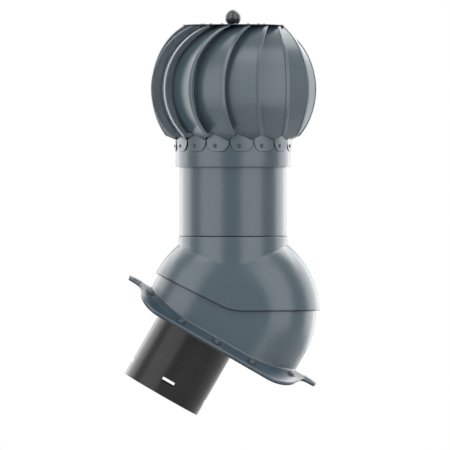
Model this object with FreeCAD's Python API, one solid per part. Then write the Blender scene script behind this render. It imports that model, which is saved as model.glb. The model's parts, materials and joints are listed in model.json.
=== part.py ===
import FreeCAD, Part
import math
import os

from FreeCAD import Vector

# Rotating chimney cowl, all lengths in mm and all angles in degrees.
# A roof base with a barrel flange carries a tilting hood, the hood carries a jacket tube,
# and a turbine of curved vanes spins on an axle that stands in the tube.
# The upper half is drawn about the upright turbine axis, the base about the roof's normal.
# Both drawings share one centre, the middle of the rounded hood, which the hood tilts about.
# The row's origin is the centre of the inlet pipe's mouth, and +Z runs up the turbine axis.

# Roof pitch that the cowl is set to
roof_pitch = 30.0

# Inlet pipe, the 125 mm duct size
pipe_outer_r = 62.5
pipe_wall = 2.5
pipe_shift = -32.0
pipe_mouth_depth = 161.0
pipe_collar_width = 9.5
pipe_collar_thick = 2.5
pipe_slot_width = 20.7
pipe_slot_height = 6.6
pipe_slot_rise = 23.0
pipe_slot_count = 4
pipe_seal_thick = 1.5
pipe_seal_width = 7.5
pipe_screw_count = 6
pipe_screw_r = 1.6
pipe_screw_head_r = 3.2
pipe_screw_head_height = 2.2
pipe_screw_tip = 4.0

# Rounded wheel form of the base, flat on both cheeks and a little wider than the jacket tube
base_shoulder_spare = 0.15
cheek_flat_r = 44.35
base_wall = 2.5
base_mouth_height = 90.0
base_floor_thick = 2.5
base_foot_fillet = 2.0

# Flange, a barrel surface with its crest along the slope
flange_crest_depth = 29.3
flange_bend_r = 218.0
flange_thick = 3.0
flange_border = 22.85
flange_straight_run = 49.65
flange_corner_r = 39.0
flange_corner_turn = 77.0
flange_neck_r = 16.0
tongue_half_width = 30.0
tongue_straight = 0.6
tongue_corner_r = 6.0
tongue_pad_length = 19.0
tongue_pad_inset = 3.0
tongue_pad_height = 1.0

# Gasket glued under the flange
gasket_thick = 2.0
gasket_inset = 0.8
gasket_width = 9.0

# Flange screws with rubber washers in round recesses
screw_pitch_s = 60.6
screw_row_inset = 9.5
screw_corner_back = 11.0
screw_corner_inset = 16.8
screw_shank_r = 2.4
screw_length = 9.5
screw_collar_r = 4.8
screw_collar_height = 1.0
screw_hex_flats = 7.0
screw_hex_height = 2.6
washer_r = 6.6
washer_thick = 1.2
washer_recess_depth = 0.8
washer_recess_gap = 0.4

# Hood, the same wheel form a little larger, with a collar for the jacket tube
hood_gap = 3.25
hood_wall = 2.0
hood_rim_height = 2.2
hood_rim_bend_x = -2.3
hood_rim_angle = 26.5
hood_rim_blend_r = 75.0
hood_rib_y = 40.0
hood_rib_width = 3.0
hood_rib_spare = 3.0
slide_gap = 0.3
collar_depth = 10.4
collar_wall = 1.5
collar_edge_r = 1.0
tube_seat_rise = 2.0
tube_seat_width = 2.5

# Clamp screws that hold the hood at its angle, one through an arc slot in each cheek
clamp_arm = 31.0
clamp_angle = 12.0
clamp_boss_r = 8.0
clamp_screw_r = 3.0
clamp_slot_gap = 0.4
clamp_washer_r = 8.0
clamp_washer_thick = 1.5
clamp_head_r = 5.0
clamp_head_height = 4.0
tilt_up_limit = 30.0
tilt_down_limit = 8.0
clamp_slot_spare = 1.5

# Jacket tube, the 160 mm duct size
tube_outer_r = 80.0
tube_wall = 1.5
tube_fit_gap = 0.05
tube_length = 144.0

# Axle bracket, a three-armed star riveted inside the tube
bracket_arms = 3
bracket_arm_width = 20.0
bracket_thick = 2.0
bracket_drop = 25.0
bracket_foot_height = 22.0
bracket_disc_r = 20.0
bracket_first_arm = 30.0
bracket_rivet_spread = 5.0
bracket_rivet_r = 1.6
bracket_rivet_head_r = 3.2
bracket_rivet_head_height = 1.2
bracket_rivet_tail_r = 2.4

# Axle with a seat on the bracket, a shaft for the bearings and a thread at each end
axle_thread_r = 6.0
axle_flange_r = 13.0
axle_flange_height = 4.0
axle_body_r = 8.3
axle_tip_r = 5.0
axle_thread_spare = 2.0
axle_washer_r = 12.0
axle_washer_thick = 2.5
axle_nut_flats = 18.0
axle_nut_height = 10.0
tip_nut_flats = 16.0
tip_nut_height = 5.0

# Two ball bearings, 12 by 28 by 8
bearing_bore_r = 6.0
bearing_outer_r = 14.0
bearing_width = 8.0
bearing_ball_r = 2.38
bearing_ball_gap = 0.03
bearing_ball_count = 9
bearing_land = 1.4
cage_wall = 1.2
cage_height = 6.4
cage_pocket_gap = 0.08
upper_bearing_depth = 17.8
bearing_spread = 46.0
spacer_wall = 2.2
circlip_thick = 1.2
circlip_depth = 0.8

# Rotor hub under the top disc
hub_outer_r = 17.5
hub_skirt = 4.0
hub_nut_room_r = 11.0
hub_head_r = 28.0
hub_head_height = 3.0
hub_web = 6.0

# Top disc and ball knob
disc_r = 76.7
disc_overhang = 0.4
disc_thick = 1.2
knob_r = 11.9
knob_centre_height = 10.3
knob_neck_r = 6.5
knob_neck_height = 3.0
knob_stem_r = 4.0

# Turbine vanes: each is a sheet bent to an elliptic cylinder with level straight lines
vane_count = 15
vane_first_angle = 18.0
vane_sheet = 0.8
turbine_r = 126.4
turbine_half_height = 119.8
turbine_rise = 87.3
vane_set_angle = 60.0
vane_width = 55.8
vane_top_width = 41.0
vane_knee_rise = 43.0
vane_tip_depth = 3.7
vane_tip_drop = 8.0
vane_tip_run = 18.0
vane_hem_width = 5.2

# Top ears of the vanes, under the disc: each rivet hole lies behind the hemmed lip and in from the sheet
ear_hole_setback = 32.09
ear_hole_reach = 5.395
ear_half_width = 5.5

# Shield-shaped lower tabs of the vanes, riveted to the skirt ring
tab_angle = -9.3
tab_rivet_angle = -12.2
tab_half_angle = 11.4
tab_top_rise = 2.3
tab_peak_depth = 5.2
tab_shoulder_depth = 12.2
tab_flat = 10.0
tab_top_run = 9.0
tab_side_bulge = 0.72

# Skirt ring that the tabs are riveted to, clear of the jacket tube and its bracket rivets
skirt_gap = 5.0
skirt_wall = 1.0
skirt_overlap = 29.5
skirt_above_rivets = 13.0
skirt_bead = 0.6

# Blind rivets of the turbine
rivet_head_r = 2.8
rivet_head_height = 1.5
rivet_shank_r = 1.6
rivet_tail_r = 2.3
rivet_tail_height = 1.4
tab_rivet_depth = 8.5
tab_rivet_edge = 8.0

# Base and flange, worked out
base_shoulder_r = tube_outer_r + base_shoulder_spare
flange_half_width = base_shoulder_r + flange_border
flange_straight = cheek_flat_r + flange_straight_run
flange_turn = math.radians(flange_corner_turn)
flange_shoulder_s = flange_straight + flange_corner_r * math.sin(flange_turn)
flange_shoulder_y = flange_half_width - flange_corner_r * (1 - math.cos(flange_turn))
flange_neck_y = tongue_half_width + flange_neck_r * (1 - math.cos(flange_turn))
flange_neck_s = flange_shoulder_s + (flange_shoulder_y - flange_neck_y) / math.tan(flange_turn)
tongue_start_s = flange_neck_s + flange_neck_r * math.sin(flange_turn)
tongue_end_s = tongue_start_s + tongue_straight + tongue_corner_r
screw_row_y = flange_half_width - screw_row_inset
screw_corner_s = flange_shoulder_s - screw_corner_back
screw_corner_y = flange_shoulder_y - screw_corner_inset

# Hood and tube, worked out from the height where the hood's tread meets the collar
hood_shoulder_r = base_shoulder_r + hood_gap + hood_wall
hood_crest_r = cheek_flat_r + hood_shoulder_r
collar_outer_r = tube_outer_r + collar_wall
tube_seat_height = math.sqrt(hood_crest_r ** 2 - collar_outer_r ** 2) + tube_seat_rise
collar_top = tube_seat_height + collar_depth
tube_top = tube_seat_height + tube_length
bracket_height = tube_top - bracket_drop

# Turbine, worked out from the ellipse that the vanes are bent to
turbine_middle = tube_top + turbine_rise
vane_step = 360.0 / vane_count
skirt_outer_r = tube_outer_r + skirt_gap + skirt_wall
vane_distance = turbine_r * math.cos(math.radians(vane_set_angle))
vane_semi_u = turbine_r * math.sin(math.radians(vane_set_angle))
vane_semi_z = turbine_half_height * math.sin(math.radians(vane_set_angle))
disc_lip_u = math.sqrt((disc_r - disc_overhang) ** 2 - vane_distance ** 2)
disc_bottom = turbine_middle + vane_semi_z * math.sqrt(1 - (disc_lip_u / vane_semi_u) ** 2)
disc_top = disc_bottom + disc_thick
ear_root_y = vane_sheet - disc_lip_u
ear_hole_x = vane_distance - ear_hole_setback
ear_hole_y = ear_root_y + ear_hole_reach
ear_arm = math.hypot(ear_hole_x, ear_hole_y)
ear_turn = math.degrees(math.atan2(ear_hole_y, ear_hole_x))
skirt_meet_u = math.sqrt(skirt_outer_r ** 2 - (vane_distance - vane_width) ** 2)
skirt_meet = turbine_middle - vane_semi_z * math.sqrt(1 - (skirt_meet_u / vane_semi_u) ** 2)
vane_tip_height = skirt_meet - vane_tip_depth
tab_top_height = skirt_meet + tab_top_rise
tab_peak_height = skirt_meet - tab_peak_depth
tab_shoulder_height = skirt_meet - tab_shoulder_depth
tab_rivet_height = tab_shoulder_height - tab_rivet_depth
tab_bottom = tab_rivet_height - tab_rivet_edge
skirt_top = tab_rivet_height + skirt_above_rivets
skirt_bottom = tube_top - skirt_overlap

# Bearings and hub, worked out
upper_bearing_top = disc_bottom - upper_bearing_depth
pitch_r = (bearing_bore_r + bearing_outer_r) / 2
lower_bearing_top = upper_bearing_top - bearing_spread
lower_bearing_bottom = lower_bearing_top - bearing_width
hub_bottom = lower_bearing_bottom - hub_skirt
hub_well_top = disc_bottom - hub_web

# Base's floor and the hood's guide ribs, worked out
floor_top = -flange_crest_depth
floor_bottom = floor_top - base_floor_thick
collar_low = floor_bottom - pipe_seal_thick
hood_rib_stop = roof_pitch + tilt_down_limit + hood_rib_spare - 90
flange_centre = -flange_crest_depth - flange_bend_r
far = 400.0

AXIS_X = Vector(1, 0, 0)
AXIS_Y = Vector(0, 1, 0)
AXIS_Z = Vector(0, 0, 1)
CENTRE = Vector(0, 0, 0)


def pivot():
    """Place of the hood's centre, counted from the middle of the pipe's mouth."""
    mouth = Vector(pipe_shift, 0, -pipe_mouth_depth)
    leaned = FreeCAD.Rotation(AXIS_Y, roof_pitch).multVec(mouth)
    return CENTRE - leaned


def upright(shape):
    """Move a shape drawn about the upright axis to its place."""
    placed = shape.copy()
    placed.translate(pivot())
    return placed


def on_roof(shape):
    """Lean a shape drawn about the roof's normal to the pitch and move it to its place."""
    placed = shape.copy()
    placed.rotate(CENTRE, AXIS_Y, roof_pitch)
    placed.translate(pivot())
    return placed


def turned(shape, angle, axis=AXIS_Z):
    """A copy of a shape turned about an axis through the centre."""
    result = shape.copy()
    result.rotate(CENTRE, axis, angle)
    return result


def moved(shape, x, y, z):
    """A copy of a shape moved by x, y, z."""
    result = shape.copy()
    result.translate(Vector(x, y, z))
    return result


def rod(radius, low, high):
    """Upright cylinder between two heights."""
    return Part.makeCylinder(radius, high - low, Vector(0, 0, low))


def tube(outer_r, inner_r, low, high):
    """Upright tube between two heights."""
    return rod(outer_r, low, high).cut(rod(inner_r, low, high))


def block(x_low, x_high, y_low, y_high, z_low, z_high):
    """Box between two corners."""
    corner = Vector(x_low, y_low, z_low)
    return Part.makeBox(x_high - x_low, y_high - y_low, z_high - z_low, corner)


def lathe(points):
    """Solid turned about the upright axis from (radius, height) points."""
    corners = [Vector(radius, 0, height) for radius, height in points]
    outline = Part.makePolygon(corners + corners[:1])
    return Part.Face(outline).revolve(CENTRE, AXIS_Z, 360)


def hexagon(flats, low, high):
    """Upright hexagonal bar between two heights."""
    corner_r = flats / math.sqrt(3)
    angles = [math.radians(60 * side) for side in range(7)]
    corners = [Vector(corner_r * math.cos(a), corner_r * math.sin(a), low) for a in angles]
    return Part.Face(Part.makePolygon(corners)).extrude(Vector(0, 0, high - low))


def dome(base_r, height):
    """Flat-bottomed cap of a ball, standing on the level plane."""
    ball_r = (base_r ** 2 + height ** 2) / (2 * height)
    ball = Part.makeSphere(ball_r, Vector(0, 0, height - ball_r))
    return ball.common(rod(base_r, 0, height))


def export(name, shapes):
    """Write one piece, or a group of equal pieces, to its file."""
    solids = []
    for shape in shapes:
        solids.extend(shape.Solids)
    piece = solids[0] if len(solids) == 1 else Part.makeCompound(solids)
    piece.exportStep("parts/" + name + ".step")


# Base, drawn about the roof's normal

def wheel(shoulder_r):
    """Wheel about the Y axis with flat cheeks and a round tread."""
    start = Vector(0, -shoulder_r, 0)
    edge_low = Vector(0, -shoulder_r, cheek_flat_r)
    crown = Vector(0, 0, cheek_flat_r + shoulder_r)
    edge_high = Vector(0, shoulder_r, cheek_flat_r)
    end = Vector(0, shoulder_r, 0)
    edges = [
        Part.LineSegment(start, edge_low).toShape(),
        Part.Arc(edge_low, crown, edge_high).toShape(),
        Part.LineSegment(edge_high, end).toShape(),
        Part.LineSegment(end, start).toShape(),
    ]
    return Part.Face(Part.Wire(edges)).revolve(CENTRE, AXIS_Y, 360)


def stadium(shoulder_r, low, high):
    """Prism with the wheel's plan: flat sides and round ends."""
    height = high - low
    middle = block(-cheek_flat_r, cheek_flat_r, -shoulder_r, shoulder_r, low, high)
    ends = [Part.makeCylinder(shoulder_r, height, Vector(s, 0, low)) for s in (-cheek_flat_r, cheek_flat_r)]
    return middle.fuse(ends).removeSplitter()


def barrel(radius):
    """Solid cylinder along the slope, concentric with the flange's bend."""
    return Part.makeCylinder(radius, 2 * far, Vector(-far, 0, flange_centre), AXIS_X)


def plan_arc(centre_s, centre_y, radius, angles):
    """Points of an arc in the plan, at angles counted from the +Y side towards the low end."""
    turns = [math.radians(angle) for angle in angles]
    return tuple((centre_s + radius * math.sin(a), centre_y + radius * math.cos(a)) for a in turns)


def flange_outline():
    """Plan of the flange at the centre's level: round corners that sweep into the two tongues."""
    turn = flange_corner_turn
    corner = plan_arc(flange_straight, flange_half_width - flange_corner_r, flange_corner_r,
                      (0, turn / 2, turn))
    neck = plan_arc(tongue_start_s, tongue_half_width + flange_neck_r, flange_neck_r,
                    (180 + turn, 180 + turn / 2, 180))
    tip = plan_arc(tongue_end_s - tongue_corner_r, tongue_half_width - tongue_corner_r, tongue_corner_r,
                   (0, 45, 90))
    quarter = [
        ("line", (0, flange_half_width), corner[0]),
        ("arc",) + corner,
        ("line", corner[2], neck[0]),
        ("arc",) + neck,
        ("line", neck[2], tip[0]),
        ("arc",) + tip,
        ("line", tip[2], (tongue_end_s, 0)),
    ]
    edges = []
    for side_s in (1, -1):
        for side_y in (1, -1):
            for kind, *corners in quarter:
                points = [Vector(side_s * s, side_y * y, 0) for s, y in corners]
                curve = Part.LineSegment(*points) if kind == "line" else Part.Arc(*points)
                edges.append(curve.toShape())
    return Part.Wire(Part.__sortEdges__(edges))


def prism(wire):
    """Tall prism over a plan."""
    face = Part.Face(wire)
    face.translate(Vector(0, 0, -far / 2))
    return face.extrude(Vector(0, 0, far))


def flange_place(shape, s, y):
    """Set a shape drawn on the level plane on the flange's surface, upright to it."""
    lean = math.degrees(math.asin(y / flange_bend_r))
    result = moved(shape, 0, 0, flange_bend_r)
    result = turned(result, -lean, AXIS_X)
    return moved(result, s, 0, flange_centre)


def screw_places():
    """Plan positions of the flange screws: two rows of three and four corners."""
    rows = [(step * screw_pitch_s, side * screw_row_y) for side in (-1, 1) for step in (-1, 0, 1)]
    corners = [(a * screw_corner_s, b * screw_corner_y) for a in (-1, 1) for b in (-1, 1)]
    return rows + corners


def pipe_screw_places():
    """Turning angles of the screws in the pipe's collar."""
    return [(index + 0.5) * 360.0 / pipe_screw_count for index in range(pipe_screw_count)]


def pipe_screw_arm():
    """Distance of the collar screws from the pipe's axis."""
    return pipe_outer_r + pipe_collar_width / 2


def tilt_point(radius, angle, ahead=0.0):
    """Point in the tilting plane at an angle from the upright, moved ahead along its arc."""
    turn = math.radians(angle)
    out = Vector(math.sin(turn), 0, math.cos(turn)) * radius
    return out + Vector(math.cos(turn), 0, -math.sin(turn)) * ahead


def clamp_slot():
    """Arc slot through both cheeks, wide enough for the whole tilt."""
    half = clamp_screw_r + clamp_slot_gap
    reach = base_shoulder_r + 1
    low = clamp_angle - roof_pitch - tilt_down_limit - clamp_slot_spare
    high = clamp_angle - roof_pitch + tilt_up_limit + clamp_slot_spare
    outer_r = clamp_arm + half
    inner_r = clamp_arm - half
    middle = (low + high) / 2
    arcs = [
        (tilt_point(outer_r, low), tilt_point(outer_r, middle), tilt_point(outer_r, high)),
        (tilt_point(outer_r, high), tilt_point(clamp_arm, high, half), tilt_point(inner_r, high)),
        (tilt_point(inner_r, high), tilt_point(inner_r, middle), tilt_point(inner_r, low)),
        (tilt_point(inner_r, low), tilt_point(clamp_arm, low, -half), tilt_point(outer_r, low)),
    ]
    face = Part.Face(Part.Wire([Part.Arc(*points).toShape() for points in arcs]))
    return moved(face, 0, -reach, 0).extrude(Vector(0, 2 * reach, 0))


def roof_base():
    """Flange, upright wall, rounded dome and floor, moulded as one piece."""
    outer = wheel(base_shoulder_r)
    inner_r = base_shoulder_r - base_wall
    above = block(-far, far, -far, far, 0, base_mouth_height)
    dome_shell = outer.cut(wheel(inner_r)).common(above)
    room = stadium(inner_r, -far / 2, 0)
    wall = stadium(base_shoulder_r, -far / 2, 0).cut([room, barrel(flange_bend_r - flange_thick / 2)])
    plan = prism(flange_outline())
    sheet = barrel(flange_bend_r).cut(barrel(flange_bend_r - flange_thick)).common(plan)
    skirt = stadium(base_shoulder_r + base_foot_fillet, -far / 2, 0)
    bead = skirt.common(barrel(flange_bend_r + base_foot_fillet))
    bead = bead.cut(barrel(flange_bend_r - flange_thick / 2))
    half = tongue_half_width - tongue_pad_inset
    pad_end = tongue_end_s - tongue_pad_inset
    pads = []
    for side in (-1, 1):
        ends = sorted((side * (pad_end - tongue_pad_length), side * pad_end))
        pads.append(block(ends[0], ends[1], -half, half, -far / 2, far / 2))
    pad_skin = barrel(flange_bend_r + tongue_pad_height).cut(barrel(flange_bend_r - flange_thick / 2))
    pads = [pad.common(pad_skin) for pad in pads]
    floor = stadium(base_shoulder_r - base_wall / 2, floor_bottom, floor_top)
    body = sheet.fuse([bead] + pads).cut(room)
    inlet = moved(rod(pipe_outer_r - pipe_wall, -far, 0), pipe_shift, 0, 0)
    body = body.fuse([wall, dome_shell, floor]).cut(inlet)
    body = body.cut(clamp_slot())
    for s, y in screw_places():
        recess = rod(washer_r + washer_recess_gap, -washer_recess_depth, flange_thick)
        hole = rod(screw_shank_r, -2 * flange_thick, flange_thick)
        body = body.cut(flange_place(recess.fuse(hole), s, y))
    for angle in pipe_screw_places():
        hole = moved(rod(pipe_screw_r, floor_bottom - 1, floor_top + 1), pipe_screw_arm(), 0, 0)
        body = body.cut(moved(turned(hole, angle), pipe_shift, 0, 0))
    return body.removeSplitter()


def flange_gasket():
    """Flat foam strip under the border of the flange."""
    outline = flange_outline()
    outer = prism(outline.makeOffset2D(-gasket_inset))
    inner = prism(outline.makeOffset2D(-gasket_inset - gasket_width))
    under = flange_bend_r - flange_thick
    strip = outer.cut(inner).common(barrel(under).cut(barrel(under - gasket_thick)))
    for s, y in screw_places():
        strip = strip.cut(flange_place(rod(screw_shank_r, -2 * screw_length, flange_thick), s, y))
    return strip


def flange_screw():
    """Hexagon screw with a collar, standing on its washer above the flange."""
    seat = washer_thick - washer_recess_depth
    shank = rod(screw_shank_r, seat - screw_length, seat)
    collar = rod(screw_collar_r, seat, seat + screw_collar_height)
    top = seat + screw_collar_height + screw_hex_height
    head = hexagon(screw_hex_flats, seat + screw_collar_height, top)
    tip = Part.makeCone(0, screw_shank_r, screw_shank_r, Vector(0, 0, seat - screw_length - screw_shank_r))
    return shank.fuse([collar, head, tip]).removeSplitter()


def flange_washer():
    """Rubber washer in its recess."""
    return tube(washer_r, screw_shank_r, -washer_recess_depth, washer_thick - washer_recess_depth)


def inlet_pipe():
    """Pipe with a collar at its top end and slots through the wall near its mouth."""
    outer = rod(pipe_outer_r, -pipe_mouth_depth, collar_low)
    collar = rod(pipe_outer_r + pipe_collar_width, collar_low - pipe_collar_thick, collar_low)
    bore = rod(pipe_outer_r - pipe_wall, -pipe_mouth_depth, collar_low)
    body = outer.fuse(collar).cut(bore)
    middle = pipe_slot_rise - pipe_mouth_depth
    slot = block(pipe_outer_r - 2 * pipe_wall, pipe_outer_r + pipe_wall,
                 -pipe_slot_width / 2, pipe_slot_width / 2,
                 middle - pipe_slot_height / 2, middle + pipe_slot_height / 2)
    for index in range(pipe_slot_count):
        body = body.cut(turned(slot, index * 360.0 / pipe_slot_count))
    hole = rod(pipe_screw_r, collar_low - 2 * pipe_collar_thick, collar_low + 1)
    for angle in pipe_screw_places():
        body = body.cut(turned(moved(hole, pipe_screw_arm(), 0, 0), angle))
    return moved(body, pipe_shift, 0, 0)


def inlet_seal():
    """Rubber ring between the pipe's collar and the floor."""
    ring = tube(pipe_outer_r + pipe_seal_width, pipe_outer_r - pipe_wall, collar_low, floor_bottom)
    for angle in pipe_screw_places():
        hole = moved(rod(pipe_screw_r, collar_low - 1, floor_bottom + 1), pipe_screw_arm(), 0, 0)
        ring = ring.cut(turned(hole, angle))
    return moved(ring, pipe_shift, 0, 0)


def inlet_screws():
    """Screws from below through the collar and the seal into the floor."""
    seat = collar_low - pipe_collar_thick
    shank = rod(pipe_screw_r, seat, floor_top + pipe_screw_tip)
    head = turned(dome(pipe_screw_head_r, pipe_screw_head_height), 180, AXIS_X)
    screw = shank.fuse(moved(head, 0, 0, seat))
    screw = moved(screw, pipe_screw_arm(), 0, 0)
    return [moved(turned(screw, angle), pipe_shift, 0, 0) for angle in pipe_screw_places()]


# Hood, drawn about the upright axis

def below_rim():
    """Everything under the hood's rim: level to the right, rising to the left, blended."""
    angle = math.radians(hood_rim_angle)
    reach = hood_rim_blend_r * math.tan(angle / 2)
    right = Vector(hood_rim_bend_x + reach, 0, hood_rim_height)
    left = Vector(hood_rim_bend_x - reach * math.cos(angle), 0, hood_rim_height + reach * math.sin(angle))
    middle_angle = angle / 2
    centre = Vector(right.x, 0, hood_rim_height + hood_rim_blend_r)
    middle = centre - Vector(math.sin(middle_angle), 0, math.cos(middle_angle)) * hood_rim_blend_r
    far_left = Vector(-far, 0, hood_rim_height + (hood_rim_bend_x + far) * math.tan(angle))
    far_right = Vector(far, 0, hood_rim_height)
    corners = [far_left, Vector(-far, 0, -far), Vector(far, 0, -far), far_right]
    edges = [Part.LineSegment(a, b).toShape() for a, b in zip(corners, corners[1:])]
    edges.append(Part.LineSegment(far_right, right).toShape())
    edges.append(Part.Arc(right, middle, left).toShape())
    edges.append(Part.LineSegment(left, far_left).toShape())
    face = Part.Face(Part.Wire(edges))
    face.translate(Vector(0, -far, 0))
    return face.extrude(Vector(0, 2 * far, 0))


def clamp_turn(shape):
    """Turn a shape drawn along +Y over the centre to both clamp places of the hood."""
    there = turned(moved(shape, 0, 0, clamp_arm), clamp_angle, AXIS_Y)
    return [there, there.mirror(CENTRE, AXIS_Y)]


def lying(radius, near, distant):
    """Cylinder along +Y between two distances."""
    return Part.makeCylinder(radius, distant - near, Vector(0, near, 0), AXIS_Y)


def hood():
    """Rounded hood with its collar, inner guide ribs and clamp bosses, one moulding."""
    inner_r = hood_shoulder_r - hood_wall
    outer = wheel(hood_shoulder_r)
    inner = wheel(inner_r)
    collar = rod(collar_outer_r, 0, collar_top)
    top_edges = [e for e in collar.Edges if abs(e.CenterOfMass.z - collar_top) < 1e-6 and e.Closed]
    collar = collar.makeFillet(collar_edge_r, top_edges[:1])
    ribs = []
    stop = turned(block(-far, 0, -far, far, -far, far), hood_rib_stop, AXIS_Y)
    for side in (-1, 1):
        near = side * hood_rib_y - hood_rib_width / 2
        rib = block(-far, far, near, near + hood_rib_width, 0, far).cut(stop)
        ribs.append(inner.cut(wheel(base_shoulder_r + slide_gap)).common(rib))
    bosses = clamp_turn(lying(clamp_boss_r, base_shoulder_r + slide_gap, inner_r + hood_wall / 2))
    holes = clamp_turn(lying(clamp_screw_r, base_shoulder_r - base_wall, inner_r + hood_wall / 2))
    body = outer.fuse(collar).cut(inner).fuse(ribs + bosses).cut(holes)
    body = body.cut(rod(tube_outer_r - tube_seat_width, cheek_flat_r, far))
    body = body.cut(rod(tube_outer_r + tube_fit_gap, tube_seat_height, far))
    return body.cut(below_rim()).removeSplitter()


def clamp_washer():
    """Washer against the inside of the base's cheek."""
    face = base_shoulder_r - base_wall - slide_gap
    return lying(clamp_washer_r, face - clamp_washer_thick, face).cut(lying(clamp_screw_r, 0, far))


def clamp_screw():
    """Screw from inside the base through the slot into the hood's boss."""
    seat = base_shoulder_r - base_wall - slide_gap - clamp_washer_thick
    shank = lying(clamp_screw_r, seat, hood_shoulder_r - hood_wall / 2)
    head = lying(clamp_head_r, seat - clamp_head_height, seat)
    socket = turned(hexagon(clamp_head_r, -far, 0), -90, AXIS_X)
    socket = moved(socket, 0, seat - clamp_head_height / 2 - far, 0)
    return shank.fuse(head).cut(socket.common(lying(clamp_head_r, 0, seat - clamp_head_height / 2)))


def jacket_tube():
    """Plain tube, seated in the hood's collar."""
    body = tube(tube_outer_r, tube_outer_r - tube_wall, tube_seat_height, tube_top)
    for rivet_hole in bracket_rivet_places(lying(bracket_rivet_r, 0, far)):
        body = body.cut(rivet_hole)
    return body


def bracket_rivet_places(shape):
    """Copies of a shape drawn along +Y at each rivet of the bracket's feet."""
    height = bracket_height + bracket_foot_height - bracket_foot_height / 3
    copies = []
    for arm in range(bracket_arms):
        for side in (-1, 1):
            spread = math.degrees(math.asin(side * bracket_rivet_spread / tube_outer_r))
            angle = bracket_first_arm + arm * 360.0 / bracket_arms + spread
            copies.append(turned(moved(shape, 0, 0, height), angle))
    return copies


def axle_bracket():
    """Star of flat arms with a centre disc and feet bent up along the tube's wall."""
    inner_r = tube_outer_r - tube_wall
    half = bracket_arm_width / 2
    body = rod(bracket_disc_r, bracket_height, bracket_height + bracket_thick)
    top = bracket_height + bracket_foot_height
    for arm in range(bracket_arms):
        strip = block(-half, half, 0, far, bracket_height, top)
        flat = strip.common(rod(inner_r, bracket_height, bracket_height + bracket_thick))
        foot = strip.common(tube(inner_r, inner_r - bracket_thick, bracket_height, top))
        body = body.fuse(turned(flat.fuse(foot), bracket_first_arm + arm * 360.0 / bracket_arms))
    for rivet_hole in bracket_rivet_places(lying(bracket_rivet_r, 0, far)):
        body = body.cut(rivet_hole)
    return body.cut(rod(axle_thread_r, 0, far)).removeSplitter()


def bracket_rivets():
    """Rivets through the tube and the bracket's feet."""
    inner_face = tube_outer_r - tube_wall - bracket_thick
    shank = lying(bracket_rivet_r, inner_face - bracket_rivet_head_height / 2, tube_outer_r)
    head = turned(dome(bracket_rivet_head_r, bracket_rivet_head_height), -90, AXIS_X)
    tail = turned(dome(bracket_rivet_tail_r, bracket_rivet_head_height), 90, AXIS_X)
    tail = moved(tail, 0, inner_face, 0).common(rod(inner_face, -far, far))
    rivet = shank.fuse([moved(head, 0, tube_outer_r, 0), tail])
    return bracket_rivet_places(rivet)


# Axle, bearings and nuts, on the upright axis

def axle():
    """Turned axle: thread, flange, body, bearing seat and tip thread."""
    low = bracket_height - axle_washer_thick - axle_nut_height - axle_thread_spare
    flange_low = bracket_height + bracket_thick
    flange_top = flange_low + axle_flange_height
    tip_top = upper_bearing_top + tip_nut_height + axle_thread_spare
    return lathe([
        (0, low), (axle_thread_r, low), (axle_thread_r, flange_low),
        (axle_flange_r, flange_low), (axle_flange_r, flange_top),
        (axle_body_r, flange_top), (axle_body_r, lower_bearing_bottom),
        (bearing_bore_r, lower_bearing_bottom), (bearing_bore_r, upper_bearing_top),
        (axle_tip_r, upper_bearing_top), (axle_tip_r, tip_top), (0, tip_top),
    ])


def bearing_rings(top):
    """Outer ring, inner ring, balls and cage of one bearing below a height."""
    low = top - bearing_width
    middle = top - bearing_width / 2
    groove = Part.makeTorus(pitch_r, bearing_ball_r + bearing_ball_gap, Vector(0, 0, middle))
    outer = tube(bearing_outer_r, pitch_r + bearing_land, low, top).cut(groove)
    inner = tube(pitch_r - bearing_land, bearing_bore_r, low, top).cut(groove)
    turns = [index * 360.0 / bearing_ball_count for index in range(bearing_ball_count)]
    ball = Part.makeSphere(bearing_ball_r, Vector(pitch_r, 0, middle))
    balls = [turned(ball, angle) for angle in turns]
    cage_low = middle - cage_height / 2
    cage = tube(pitch_r + cage_wall / 2, pitch_r - cage_wall / 2, cage_low, cage_low + cage_height)
    pocket_r = bearing_ball_r + cage_pocket_gap
    pocket = Part.makeCylinder(pocket_r, bearing_outer_r, Vector(0, 0, middle), AXIS_X)
    for angle in turns:
        cage = cage.cut(turned(pocket, angle))
    return outer, inner, balls, cage


def rotor_hub():
    """Turned hub: bearing bore, room for the nut, web and a wide head under the disc."""
    head_low = disc_bottom - hub_head_height
    body = lathe([
        (0, disc_bottom), (hub_head_r, disc_bottom), (hub_head_r, head_low), (hub_outer_r, head_low),
        (hub_outer_r, hub_bottom), (bearing_outer_r, hub_bottom), (bearing_outer_r, upper_bearing_top),
        (hub_nut_room_r, upper_bearing_top), (hub_nut_room_r, hub_well_top), (0, hub_well_top),
    ])
    groove = rod(bearing_outer_r + circlip_depth, lower_bearing_bottom - circlip_thick, lower_bearing_bottom)
    return body.cut([groove, rod(knob_stem_r, hub_well_top - 1, disc_bottom + 1)])


def bearing_circlip():
    """Open ring in the hub's groove under the lower bearing."""
    ring_r = bearing_outer_r + circlip_depth
    low = lower_bearing_bottom - circlip_thick
    ring = tube(ring_r, bearing_outer_r - 2 * circlip_depth, low, lower_bearing_bottom)
    return ring.cut(block(0, ring_r, -circlip_thick, circlip_thick, low, lower_bearing_bottom))


# Turbine, drawn about the upright axis

def ellipse_bar(semi_y, semi_z, x_low, x_high):
    """Bar along X with an elliptic section about the turbine's middle height."""
    centre = Vector(x_low, 0, turbine_middle)
    ends = sorted(((semi_y, Vector(x_low, -semi_y, turbine_middle)),
                   (semi_z, Vector(x_low, 0, turbine_middle + semi_z))), key=lambda end: -end[0])
    curve = Part.Ellipse(ends[0][1], ends[1][1], centre)
    return Part.Face(Part.Wire(curve.toShape())).extrude(Vector(x_high - x_low, 0, 0))


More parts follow.
